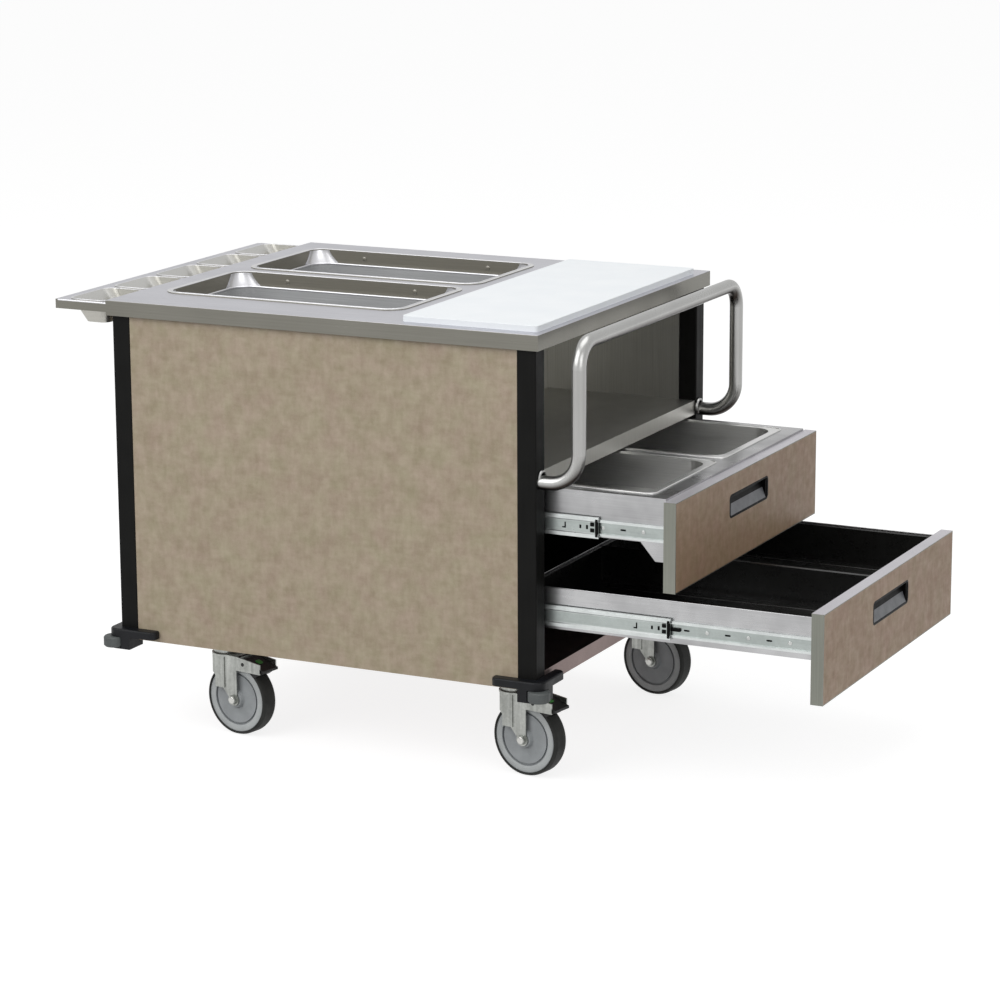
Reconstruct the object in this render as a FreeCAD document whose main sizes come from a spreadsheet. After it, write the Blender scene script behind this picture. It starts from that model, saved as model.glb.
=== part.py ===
import FreeCAD, Part
import math
import os
import Sketcher

os.makedirs("parts", exist_ok=True)
doc = FreeCAD.newDocument("holding_cart")

# Driving dimensions in millimetres and degrees. Places along the cart run from
# the worktop's left edge, places across it from its middle plane, heights from
# the floor. The drawers are drawn pulled out by their two open values.
DIMENSIONS = {
    "top_length": 960,
    "top_width": 843,
    "top_height": 900,
    "top_gauge": 2,
    "top_skirt": 31,
    "top_overhang": 9,
    "top_round": 1.5,
    "post_size": 40,
    "post_wall": 2.5,
    "post_round": 3,
    "post_foot": 206,
    "panel_thickness": 16,
    "panel_inset": 1,
    "panel_drop": 18,
    "base_height": 198,
    "base_gauge": 2,
    "base_flange": 30,
    "base_setback": 6,
    "wall_gauge": 2,
    "bay_left": 606,
    "shelf_height": 630,
    "shelf_gauge": 2,
    "shelf_setback": 3,
    "shelf_lip": 30,
    "shelf_hem": 10,
    "well_length": 526,
    "well_width": 286,
    "well_round": 32,
    "well_gauge": 1.5,
    "well_rim": 12,
    "well_step": 9,
    "well_step_depth": 28,
    "well_depth": 150,
    "well_place": 325,
    "well_pitch": 339,
    "well_shift": 26,
    "well_clearance": 0.5,
    "heater_length": 420,
    "heater_width": 200,
    "heater_thickness": 5,
    "heater_round": 20,
    "board_width": 290,
    "board_thickness": 12,
    "board_round": 8,
    "board_edge": 1.5,
    "board_end_gap": 15,
    "board_near_gap": 30,
    "board_far_gap": 48,
    "handle_radius": 14,
    "handle_wall": 2,
    "handle_reach": 81,
    "handle_low": 610,
    "handle_drop": 17,
    "handle_low_bend": 60,
    "handle_high_bend": 48,
    "trough_reach": 127,
    "trough_drop": 8,
    "trough_lip": 19,
    "trough_depth": 44,
    "trough_gauge": 1.5,
    "trough_end_gap": 12,
    "trough_flange": 26,
    "trough_inner_flange": 12,
    "trough_pan_gap": 22,
    "trough_pan_rim": 5,
    "trough_pan_round": 22,
    "trough_floor_round": 14,
    "trough_lean": 35,
    "trough_draft": 4,
    "trough_clearance": 0.5,
    "bumper_proud": 21,
    "bumper_arm": 90,
    "bumper_arm_height": 16,
    "bumper_block_in": 31,
    "bumper_block_height": 26,
    "bumper_round": 20,
    "bumper_tip_round": 14,
    "bumper_edge_round": 4,
    "roller_radius": 22,
    "roller_offset": 11,
    "roller_height": 22,
    "roller_cover": 1.5,
    "roller_pin": 4,
    "roller_room": 2,
    "roller_chamfer": 2.5,
    "end_play": 0.3,
    "running_clearance": 0.05,
    "caster_left_place": 202,
    "caster_right_gap": 102,
    "caster_side_gap": 97.5,
    "caster_turn": -10,
    "caster_trail": 36,
    "plate_length": 105,
    "plate_width": 85,
    "plate_gauge": 4,
    "plate_round": 8,
    "race_radius": 28,
    "race_top_radius": 34,
    "kingpin_radius": 6,
    "kingpin_head": 9,
    "kingpin_head_height": 6,
    "crown_top": 168,
    "crown_gauge": 4,
    "crown_radius": 32,
    "fork_gap": 24,
    "fork_gauge": 3,
    "fork_back": 18,
    "fork_front": 46,
    "fork_arm": 107,
    "fork_arm_low": 139,
    "fork_arm_tip": 160,
    "fork_eye": 13,
    "fork_shin": 128,
    "fork_web_low": 146,
    "fork_rib_width": 24,
    "fork_rib_height": 2,
    "fork_rib_low": 98,
    "axle_radius": 6,
    "axle_head": 10,
    "axle_head_height": 6,
    "wheel_radius": 76,
    "wheel_width": 40,
    "core_radius": 69,
    "core_rim": 14,
    "core_half_width": 17,
    "groove_width": 4,
    "groove_depth": 4,
    "core_disc_half": 16,
    "hub_radius": 17,
    "hub_half_length": 23.5,
    "pedal_half_width": 23.4,
    "pedal_reach": 114,
    "pedal_pivot_place": 62,
    "pedal_pivot_height": 154,
    "pedal_pin": 4,
    "shoe_gap": 0.4,
    "slide_length": 600,
    "slide_gauge": 1.5,
    "slide_rise": 112,
    "outer_half": 22.5,
    "outer_depth": 10,
    "middle_start": 2.5,
    "middle_half": 18,
    "middle_depth": 11.5,
    "middle_track": 2.7,
    "middle_rail": 5,
    "middle_recess": 2,
    "inner_start": 7.2,
    "inner_half": 12.5,
    "inner_depth": 12.7,
    "inner_track": 3.7,
    "track_width": 4,
    "upper_open": 272,
    "lower_open": 573,
    "front_clearance": 2.5,
    "front_drop": 4,
    "front_gap": 6,
    "front_height": 177,
    "front_thickness": 25,
    "front_edging": 2,
    "pull_width": 196,
    "pull_height": 40,
    "pull_wall": 4,
    "pull_depth": 16,
    "pull_round": 6,
    "pull_lip": 1.5,
    "pull_drop": 64,
    "sheet_gauge": 1.5,
    "deck_gap": 6,
    "frame_depth": 88,
    "gusset_length": 52,
    "gusset_foot": 21,
    "gusset_depth": 36,
    "pan_length": 530,
    "pan_rim": 14,
    "pan_gauge": 1.2,
    "pan_depth": 65,
    "pan_round": 40,
    "pan_rim_round": 18,
    "pan_taper": 4,
    "pan_gap": 23,
    "pan_side_gap": 23.3,
    "pan_clearance": 1.5,
    "box_rise": 84,
    "box_height": 82,
    "tub_height": 76,
    "tub_wall": 3,
    "tub_gap": 1,
    "tub_round": 4,
    "control_across": -160,
    "control_up": 692,
    "control_width": 180,
    "control_height": 90,
    "control_gauge": 2,
    "knob_pitch": 56,
    "knob_shift": -26,
    "knob_radius": 19,
    "knob_length": 20,
    "knob_mark": 1.5,
    "shaft_radius": 3,
    "shaft_proud": 15,
    "shaft_room": 2,
    "thermostat_size": 44,
    "thermostat_depth": 30,
    "switch_shift": 58,
    "switch_width": 26,
    "switch_height": 16.4,
    "switch_depth": 7,
    "switch_tilt": 7,
    "switch_side_room": 0.3,
    "switch_swing_room": 0.8,
    "switch_pin": 1.5,
    "switch_pin_length": 2.4,
    "bezel_wall": 4,
    "bezel_height": 6,
    "inlet_drop": 85,
    "inlet_width": 46,
    "inlet_height": 30,
    "inlet_depth": 28,
    "inlet_flange": 8,
    "inlet_wall": 4,
    "inlet_pin_length": 14,
    "inlet_pin_width": 2,
    "inlet_pin_height": 5,
    "inlet_pin_pitch": 9,
    "inlet_clearance": 0.5,
}

sheet = doc.addObject("Spreadsheet::Sheet", "Dims")
for row, (alias, number) in enumerate(DIMENSIONS.items(), start=1):
    sheet.set(f"A{row}", alias)
    sheet.set(f"B{row}", str(number))
    sheet.setAlias(f"B{row}", alias)
doc.recompute()

nodes = {}


class Size:
    """A dimension: its number and the sheet formula that gives it."""

    def __init__(self, value, text):
        self.value = value
        self.text = text

    def __add__(self, other):
        other = as_size(other)
        return Size(self.value + other.value, f"({self.text} + {other.text})")

    def __sub__(self, other):
        other = as_size(other)
        return Size(self.value - other.value, f"({self.text} - {other.text})")

    def __mul__(self, other):
        other = as_size(other)
        return Size(self.value * other.value, f"({self.text} * {other.text})")

    def __truediv__(self, other):
        other = as_size(other)
        return Size(self.value / other.value, f"({self.text} / {other.text})")

    def __neg__(self):
        return Size(-self.value, f"(-{self.text})")

    def __radd__(self, other):
        return as_size(other) + self

    def __rsub__(self, other):
        return as_size(other) - self

    def __rmul__(self, other):
        return as_size(other) * self


class SheetSizes:
    """Gives each cell of the sheet by its alias."""

    def __getattr__(self, alias):
        return Size(float(getattr(sheet, alias)), f"Dims.{alias}")


d = SheetSizes()


def as_size(number):
    """Takes a plain number or a Size."""
    if isinstance(number, Size):
        return number
    return Size(float(number), f"({number})")


def sine(angle):
    """Sine of an angle in degrees."""
    return Size(math.sin(math.radians(angle.value)), f"sin({angle.text} * 1 deg)")


def cosine(angle):
    """Cosine of an angle in degrees."""
    return Size(math.cos(math.radians(angle.value)), f"cos({angle.text} * 1 deg)")


def centred(size):
    """The range of a size laid evenly about zero."""
    return (-as_size(size) / 2, as_size(size) / 2)


def bind(target, name, size):
    """Binds a property to a formula on the sheet."""
    target.setExpression(name, as_size(size).text)


# Planes that several pieces share.
face_left = d.top_overhang
face_right = d.top_length - d.top_overhang
face_side = d.top_width / 2 - d.top_overhang
post_left_inner = face_left + d.post_size
post_right_inner = face_right - d.post_size
inner_side = face_side - d.post_size
panel_face = face_side - d.panel_inset
panel_back = panel_face - d.panel_thickness
end_panel_face = face_left + d.panel_inset
end_panel_back = end_panel_face + d.panel_thickness
control_face = end_panel_face - d.control_gauge
top_under = d.top_height - d.top_gauge
box_left = face_right - d.front_thickness - d.slide_length
box_half = inner_side - d.inner_depth
panel_top = d.top_height - d.panel_drop
deck_height = d.shelf_height - d.shelf_lip - d.deck_gap
front_width = 2 * (inner_side - d.front_clearance)
upper_front_bottom = deck_height - d.front_drop - d.front_height
lower_front_bottom = upper_front_bottom - d.front_gap - d.front_height
box_bottom = lower_front_bottom + d.box_rise
pan_width = box_half - d.pan_side_gap - d.pan_gap / 2
pan_pitch = pan_width + d.pan_gap
row_origin = (face_right + d.lower_open - d.trough_reach) / 2
hub_height = d.wheel_radius
UP = FreeCAD.Vector(0, 0, 1)
ACROSS = FreeCAD.Vector(0, 1, 0)
SIDES = {"near": -1, "far": 1}


def place(target, x=0, y=0, z=0, turn=None, axis=UP):
    """Puts an object at a place on the cart, turned about an axis if asked."""
    if turn is not None:
        target.Placement = FreeCAD.Placement(FreeCAD.Vector(), FreeCAD.Rotation(axis, 1))
        bind(target, "Placement.Rotation.Angle", turn)
    bind(target, "Placement.Base.x", as_size(x) - row_origin)
    bind(target, "Placement.Base.y", y)
    bind(target, "Placement.Base.z", z)


def node(label, target):
    """Names an object as one piece of the part."""
    target.Label = label
    nodes[label] = target


def block(name, x, y, z):
    """A rectangular board or sheet given by its three ranges."""
    solid = doc.addObject("Part::Box", name)
    for side, (start, end) in (("Length", x), ("Width", y), ("Height", z)):
        bind(solid, side, as_size(end) - start)
    place(solid, x[0], y[0], z[0])
    return solid


def group(label, members):
    """One node of several separate solids."""
    gathered = doc.addObject("Part::Compound", label)
    gathered.Links = members
    node(label, gathered)


def constrain(drawing, size, kind, *places):
    """Adds a sketch constraint whose value is bound to the sheet."""
    size = as_size(size)
    number = drawing.addConstraint(Sketcher.Constraint(kind, *places, size.value))
    drawing.setExpression(f"Constraints[{number}]", size.text)


def fix_point(drawing, index, end, across, up):
    """Fixes a point of a sketch curve by its two distances from the origin."""
    constrain(drawing, across, "DistanceX", -1, 1, index, end)
    constrain(drawing, up, "DistanceY", -1, 1, index, end)


def sketch_point(across, up):
    """A point in a sketch."""
    return FreeCAD.Vector(as_size(across).value, as_size(up).value, 0)


def polygon(drawing, corners):
    """Draws a closed outline through its corners."""
    first = drawing.GeometryCount
    count = len(corners)
    points = [sketch_point(*corner) for corner in corners]
    for index in range(count):
        drawing.addGeometry(Part.LineSegment(points[index], points[(index + 1) % count]))
    for index in range(count):
        following = first + (index + 1) % count
        drawing.addConstraint(Sketcher.Constraint("Coincident", first + index, 2, following, 1))
        fix_point(drawing, first + index, 1, *corners[index])


def rectangle(drawing, across, up):
    """Draws a rectangle from its two ranges."""
    corners = [(across[0], up[0]), (across[1], up[0]), (across[1], up[1]), (across[0], up[1])]
    polygon(drawing, corners)


def circle(drawing, radius, across=0, up=0):
    """Draws a circle."""
    outline = Part.Circle(sketch_point(across, up), UP, as_size(radius).value)
    index = drawing.addGeometry(outline)
    constrain(drawing, radius, "Radius", index)
    fix_point(drawing, index, 3, across, up)


def rounded(drawing, length, width, radius, across=0, up=0):
    """Draws a rectangle with round corners about a centre."""
    run = as_size(length) / 2 - radius
    rise = as_size(width) / 2 - radius
    reach = as_size(radius).value
    centres = [(across + run, up + rise), (across - run, up + rise),
               (across - run, up - rise), (across + run, up - rise)]
    arcs = []
    for quarter, centre in enumerate(centres):
        whole = Part.Circle(sketch_point(*centre), UP, reach)
        start = quarter * math.pi / 2
        arcs.append(drawing.addGeometry(Part.ArcOfCircle(whole, start, start + math.pi / 2)))
        constrain(drawing, radius, "Radius", arcs[-1])
        fix_point(drawing, arcs[-1], 3, *centre)
    for quarter in range(4):
        arc, following = arcs[quarter], arcs[(quarter + 1) % 4]
        start = drawing.getPoint(arc, 2)
        line = drawing.addGeometry(Part.LineSegment(start, drawing.getPoint(following, 1)))
        drawing.addConstraint(Sketcher.Constraint("Tangent", arc, 2, line, 1))
        drawing.addConstraint(Sketcher.Constraint("Tangent", line, 2, following, 1))


class Piece:
    """A body whose features are drawn in its own frame."""

    def __init__(self, name):
        self.body = doc.addObject("PartDesign::Body", name)
        self.planes = {member.Role: member for member in self.body.Origin.OriginFeatures}

    def sketch(self, plane, offset=0):
        """A new sketch on a base plane, moved along its normal."""
        drawing = self.body.newObject("Sketcher::SketchObject", "outline")
        drawing.AttachmentSupport = [(self.planes[plane + "_Plane"], "")]
        drawing.MapMode = "FlatFace"
        bind(drawing, "AttachmentOffset.Base.z", offset)
        return drawing

    def extrude(self, kind, drawing, length, backward, symmetric, taper):
        """A pad or pocket of a sketch."""
        feature = self.body.newObject(kind, "extrusion")
        feature.Profile = drawing
        bind(feature, "Length", length)
        feature.Reversed = backward
        if symmetric:
            feature.SideType = "Symmetric"
        if taper is not None:
            bind(feature, "TaperAngle", taper)

    def pad(self, drawing, length, backward=False, symmetric=False, taper=None):
        """Adds material along the sketch's normal."""
        self.extrude("PartDesign::Pad", drawing, length, backward, symmetric, taper)

    def pocket(self, drawing, length, backward=False, symmetric=False, taper=None):
        """Removes material against the sketch's normal."""
        self.extrude("PartDesign::Pocket", drawing, length, backward, symmetric, taper)

    def revolve(self, drawing, axis):
        """Turns a sketch about one of its own axes."""
        feature = self.body.newObject("PartDesign::Revolution", "turning")
        feature.Profile = drawing
        feature.ReferenceAxis = (drawing, [axis])
        feature.Angle = 360

    def loft(self, upper, lower, hollow=False):
        """Joins two outlines by straight walls, as material or as a hollow."""
        kind = "PartDesign::SubtractiveLoft" if hollow else "PartDesign::AdditiveLoft"
        feature = self.body.newObject(kind, "drawing_out")
        feature.Profile = upper
        feature.Sections = [lower]
        feature.Ruled = True

    def fillet(self, radius, chosen):
        """Rounds the edges that a test chooses."""
        doc.recompute()
        base = self.body.Tip
        edges = [f"Edge{k}" for k, edge in enumerate(base.Shape.Edges, start=1) if chosen(edge)]
        feature = self.body.newObject("PartDesign::Fillet", "rounding")
        feature.Base = (base, edges)
        bind(feature, "Radius", radius)


def upright_at(x, y):
    """A test for the upright edges that stand at a point of the body's plan."""
    def chosen(edge):
        box = edge.BoundBox
        upright = box.ZLength > 1 and box.XLength < 0.01 and box.YLength < 0.01
        return upright and abs(box.XMin - x.value) < 0.01 and abs(box.YMin - y.value) < 0.01
    return chosen


class Corner:
    """One corner of the cabinet, at the outer corner of its post."""

    def __init__(self, name, end, side, turn):
        self.name = name
        self.end = end
        self.side = side
        self.turn = turn
        self.x = face_left if end < 0 else face_right
        self.y = face_side * side
        self.swivel_x = d.caster_left_place if end < 0 else d.top_length - d.caster_right_gap
        self.swivel_y = (face_side - d.caster_side_gap) * side


CORNERS = [Corner("near_left", -1, -1, 180), Corner("near_right", 1, -1, -90),
           Corner("far_left", -1, 1, 90), Corner("far_right", 1, 1, 0)]


def build_posts():
    """Square tubes from the bumpers up to the worktop."""
    posts = []
    for corner in CORNERS:
        post = Piece("post")
        outline = post.sketch("XY")
        hollow = d.post_size - 2 * d.post_wall
        rounded(outline, d.post_size, d.post_size, d.post_round)
        rectangle(outline, centred(hollow), centred(hollow))
        post.pad(outline, top_under - d.post_foot)
        place(post.body, corner.x - corner.end * d.post_size / 2,
              corner.y - corner.side * d.post_size / 2, d.post_foot)
        posts.append(post.body)
    group("corner_posts", posts)


def build_base_pan():
    """Floor sheet with four edges turned up, notched round the posts."""
    pan = Piece("base_pan")
    right = face_right - d.base_setback
    left = end_panel_back
    outline = pan.sketch("XY")
    half = [(post_right_inner, -panel_back), (post_right_inner, -inner_side), (right, -inner_side),
            (right, inner_side), (post_right_inner, inner_side), (post_right_inner, panel_back)]
    rest = [(post_left_inner, panel_back), (post_left_inner, inner_side), (left, inner_side),
            (left, -inner_side), (post_left_inner, -inner_side), (post_left_inner, -panel_back)]
    polygon(outline, half + rest)
    pan.pad(outline, d.base_gauge)
    edges = pan.sketch("XY")
    rectangle(edges, (left, left + d.base_gauge), (-inner_side, inner_side))
    rectangle(edges, (right - d.base_gauge, right), (-inner_side, inner_side))
    for side in SIDES.values():
        face = (side * panel_back, side * (panel_back - d.base_gauge))
        rectangle(edges, (post_left_inner, post_right_inner), face)
    pan.pad(edges, d.base_flange)
    place(pan.body, 0, 0, d.base_height)
    node("base_pan", pan.body)


def build_panels():
    """Side boards between the posts, the lower linings and the bay's side walls."""
    length = (post_left_inner, post_right_inner)
    linings = []
    bay_walls = []
    for name, side in SIDES.items():
        faces = (panel_back, panel_face) if side > 0 else (-panel_face, -panel_back)
        board = block("side_board", length, faces, (d.base_height, panel_top))
        node(f"{name}_side_panel", board)
        inner = inner_side + d.wall_gauge
        sheets = (inner_side, inner) if side > 0 else (-inner, -inner_side)
        floor = d.base_height + d.base_gauge
        linings.append(block("lining", length, sheets, (floor, d.shelf_height - d.shelf_gauge)))
        bay_length = (d.bay_left - d.wall_gauge, post_right_inner)
        bay_walls.append(block("bay_wall", bay_length, sheets, (d.shelf_height - d.shelf_gauge, top_under)))
    group("inner_side_walls", linings)
    group("bay_side_walls", bay_walls)


def knob_places():
    """Places of the two knobs across the cart."""
    middle = d.control_across + d.knob_shift
    return {"near": middle - d.knob_pitch / 2, "far": middle + d.knob_pitch / 2}


def switch_place():
    """Place of the rocker switch across the cart."""
    return d.control_across + d.switch_shift


def switch_hole(drawing):
    """Draws the opening that the rocker swings in."""
    width = d.switch_width + 2 * d.switch_side_room
    height = d.switch_height + 2 * d.switch_swing_room
    across = switch_place()
    rectangle(drawing, (across - width / 2, across + width / 2),
              (d.control_up - height / 2, d.control_up + height / 2))


def build_end_panel():
    """Left end board with the openings for the controls."""
    panel = Piece("left_end_panel")
    outline = panel.sketch("YZ")
    rectangle(outline, (-inner_side, inner_side), (d.base_height, panel_top))
    for across in knob_places().values():
        circle(outline, d.shaft_radius + d.shaft_room, across, d.control_up)
    switch_hole(outline)
    width = d.inlet_width / 2 + d.inlet_clearance
    height = d.inlet_height / 2 + d.inlet_clearance
    up = d.control_up - d.inlet_drop
    rectangle(outline, (d.control_across - width, d.control_across + width), (up - height, up + height))
    panel.pad(outline, d.panel_thickness)
    place(panel.body, end_panel_face)
    node("left_end_panel", panel.body)


def build_controls():
    """Control plate with its bezel, thermostats, knobs, rocker and inlet."""
    plate = Piece("control_panel")
    outline = plate.sketch("YZ")
    rectangle(outline, (d.control_across - d.control_width / 2, d.control_across + d.control_width / 2),
              (d.control_up - d.control_height / 2, d.control_up + d.control_height / 2))
    for across in knob_places().values():
        circle(outline, d.shaft_radius + d.shaft_room, across, d.control_up)
    switch_hole(outline)
    plate.pad(outline, d.control_gauge)
    bezel = plate.sketch("YZ")
    width = d.switch_width / 2 + d.switch_side_room + d.bezel_wall
    height = d.switch_height / 2 + d.switch_swing_room + d.bezel_wall
    across = switch_place()
    rectangle(bezel, (across - width, across + width), (d.control_up - height, d.control_up + height))
    switch_hole(bezel)
    plate.pad(bezel, d.bezel_height, backward=True)
    bearing = plate.sketch("XZ", -across)
    circle(bearing, d.switch_pin + d.running_clearance, -d.bezel_height / 2, d.control_up)
    reach = d.switch_width / 2 + d.switch_pin_length + d.end_play
    plate.pocket(bearing, 2 * reach, symmetric=True)
    place(plate.body, control_face)
    node("control_panel", plate.body)

    thermostats = []
    for name, across in knob_places().items():
        thermostat = Piece("thermostat")
        case = thermostat.sketch("YZ")
        rectangle(case, centred(d.thermostat_size), centred(d.thermostat_size))
        thermostat.pad(case, d.thermostat_depth)
        shaft = thermostat.sketch("YZ")
        circle(shaft, d.shaft_radius)
        thermostat.pad(shaft, d.panel_thickness + d.control_gauge + d.shaft_proud, backward=True)
        place(thermostat.body, end_panel_back, across, d.control_up)
        thermostats.append(thermostat.body)
        build_knob(name, across)
    group("thermostats", thermostats)
    build_rocker()
    build_inlet()


def build_knob(name, across):
    """A turned knob with a raised mark, on a thermostat shaft."""
    knob = Piece("knob")
    section = knob.sketch("XY")
    bore = d.shaft_radius + d.running_clearance
    back = -d.end_play
    depth = -d.shaft_proud - d.end_play
    end = -d.knob_length
    polygon(section, [(back, bore), (back, d.knob_radius), (end / 4, d.knob_radius),
                      (end / 2, d.knob_radius - 3), (end, d.knob_radius - 4), (end, 0),
                      (depth, 0), (depth, bore)])
    knob.revolve(section, "H_Axis")
    mark = knob.sketch("YZ", end)
    rectangle(mark, centred(d.knob_mark * 2), (d.shaft_radius, d.knob_radius - 5))
    knob.pad(mark, d.knob_mark, backward=True)
    place(knob.body, control_face, across, d.control_up)
    node(f"thermostat_knob_{name}", knob.body)


def build_rocker():
    """The switch rocker on its two pins, tilted to one of its stops."""
    rocker = Piece("power_switch")
    face = rocker.sketch("YZ")
    rectangle(face, centred(d.switch_width), centred(d.switch_height))
    rocker.pad(face, d.switch_depth, symmetric=True)
    pins = rocker.sketch("XZ")
    circle(pins, d.switch_pin)
    rocker.pad(pins, d.switch_width + 2 * d.switch_pin_length, symmetric=True)
    place(rocker.body, control_face - d.bezel_height / 2, switch_place(), d.control_up,
          -d.switch_tilt, ACROSS)
    node("power_switch", rocker.body)


def build_inlet():
    """Recessed power inlet with three flat pins."""
    inlet = Piece("power_inlet")
    flange = inlet.sketch("YZ")
    rounded(flange, d.inlet_width + 2 * d.inlet_flange, d.inlet_height + d.inlet_flange, d.inlet_wall)
    inlet.pad(flange, d.control_gauge)
    case = inlet.sketch("YZ")
    rectangle(case, centred(d.inlet_width), centred(d.inlet_height))
    inlet.pad(case, d.inlet_depth)
    recess = inlet.sketch("YZ")
    rectangle(recess, centred(d.inlet_width - 2 * d.inlet_wall), centred(d.inlet_height - 2 * d.inlet_wall))
    inlet.pocket(recess, d.inlet_depth - d.inlet_wall, backward=True)
    pins = inlet.sketch("YZ", d.inlet_depth - d.inlet_wall)
    for step, lift in ((-1, -1), (0, 1), (1, -1)):
        middle = step * d.inlet_pin_pitch
        height = lift * d.inlet_pin_height / 2
        rectangle(pins, (middle - d.inlet_pin_width / 2, middle + d.inlet_pin_width / 2),
                  (height - d.inlet_pin_height / 2, height + d.inlet_pin_height / 2))
    inlet.pad(pins, d.inlet_pin_length, backward=True)
    place(inlet.body, control_face, d.control_across, d.control_up - d.inlet_drop)
    node("power_inlet", inlet.body)


def build_plate_bay():
    """Shelf with a hemmed lip and the wall behind it."""
    shelf = Piece("plate_shelf")
    section = shelf.sketch("XZ")
    front = face_right - d.shelf_setback
    under = -d.shelf_gauge
    bottom = -d.shelf_lip
    polygon(section, [(d.bay_left, under), (front - d.shelf_gauge, under),
                      (front - d.shelf_gauge, bottom + d.shelf_gauge),
                      (front - d.shelf_hem, bottom + d.shelf_gauge), (front - d.shelf_hem, bottom),
                      (front, bottom), (front, 0), (d.bay_left, 0)])
    shelf.pad(section, 2 * inner_side, symmetric=True)
    place(shelf.body, 0, 0, d.shelf_height)
    node("plate_shelf", shelf.body)
    wall = block("bay_back_wall", (d.bay_left - d.wall_gauge, d.bay_left), (-inner_side, inner_side),
                 (d.shelf_height - d.shelf_gauge, top_under))
    node("bay_back_wall", wall)


def well_places():
    """Places of the two wells across the cart."""
    return [d.well_shift - d.well_pitch / 2, d.well_shift + d.well_pitch / 2]


def build_worktop():
    """Top sheet with a turned-down skirt and an opening for each well."""
    top = Piece("worktop")
    outline = top.sketch("XY")
    rectangle(outline, (0, d.top_length), centred(d.top_width))
    top.pad(outline, d.top_skirt)
    brow = d.top_skirt.value
    top.fillet(d.top_round, lambda edge: edge.BoundBox.ZMin > brow - 0.01)
    hollow = top.sketch("XY")
    rectangle(hollow, (d.top_gauge, d.top_length - d.top_gauge), centred(d.top_width - 2 * d.top_gauge))
    top.pocket(hollow, d.top_skirt - d.top_gauge, backward=True)
    openings = top.sketch("XY", d.top_skirt)
    spread = 2 * (d.well_gauge + d.well_clearance)
    for across in well_places():
        rounded(openings, d.well_length + spread, d.well_width + spread, d.well_round + spread / 2,
                d.well_place, across)
    top.pocket(openings, d.top_gauge * 2)
    place(top.body, 0, 0, d.top_height - d.top_skirt)
    node("worktop", top.body)


def build_wells():
    """Drawn basins with a rim and a step, and a heating mat under each."""
    basins = []
    mats = []
    skin = 2 * d.well_gauge
    low_length = d.well_length - 2 * d.well_step
    low_width = d.well_width - 2 * d.well_step
    low_round = d.well_round - d.well_step
    for across in well_places():
        basin = Piece("basin")
        rim = basin.sketch("XY")
        rounded(rim, d.well_length + 2 * d.well_rim, d.well_width + 2 * d.well_rim,
                d.well_round + d.well_rim)
        basin.pad(rim, d.well_gauge)
        upper = basin.sketch("XY")
        rounded(upper, d.well_length + skin, d.well_width + skin, d.well_round + d.well_gauge)
        basin.pad(upper, d.well_step_depth + d.well_gauge, backward=True)
        lower = basin.sketch("XY", -d.well_step_depth)
        rounded(lower, low_length + skin, low_width + skin, low_round + d.well_gauge)
        basin.pad(lower, d.well_depth + d.well_gauge - d.well_step_depth, backward=True)
        mouth = basin.sketch("XY", d.well_gauge)
        rounded(mouth, d.well_length, d.well_width, d.well_round)
        basin.pocket(mouth, d.well_gauge + d.well_step_depth)
        hollow = basin.sketch("XY", -d.well_step_depth)
        rounded(hollow, low_length, low_width, low_round)
        basin.pocket(hollow, d.well_depth - d.well_step_depth)
        place(basin.body, d.well_place, across, d.top_height)
        basins.append(basin.body)

        mat = Piece("mat")
        outline = mat.sketch("XY")
        rounded(outline, d.heater_length, d.heater_width, d.heater_round)
        mat.pad(outline, d.heater_thickness, backward=True)
        place(mat.body, d.well_place, across, d.top_height - d.well_depth - d.well_gauge)
        mats.append(mat.body)
    group("well_basins", basins)
    group("well_heaters", mats)


def build_board():
    """Loose cutting board with eased edges."""
    board = Piece("cutting_board")
    outline = board.sketch("XY")
    board_length = d.top_width - d.board_near_gap - d.board_far_gap
    rounded(outline, d.board_width, board_length, d.board_round)
    board.pad(outline, d.board_thickness)
    top = d.board_thickness.value
    board.fillet(d.board_edge, lambda edge: edge.BoundBox.ZMin > top - 0.01)
    place(board.body, d.top_length - d.board_end_gap - d.board_width / 2,
          (d.board_near_gap - d.board_far_gap) / 2, d.top_height)
    node("cutting_board", board.body)


def rounded_path(points, bends):
    """A wire through square corners, each rounded by its own bend."""
    edges = []
    start = points[0]
    for before, corner, after, bend in zip(points, points[1:], points[2:], bends):
        arriving = (corner - before).normalize()
        leaving = (after - corner).normalize()
        first = corner - arriving * bend
        last = corner + leaving * bend
        middle = first + leaving * bend + (arriving - leaving) * (bend / math.sqrt(2))
        edges.append(Part.makeLine(start, first))
        edges.append(Part.Arc(first, middle, last).toShape())
        start = last
    edges.append(Part.makeLine(start, points[-1]))
    return Part.Wire(edges)


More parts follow.
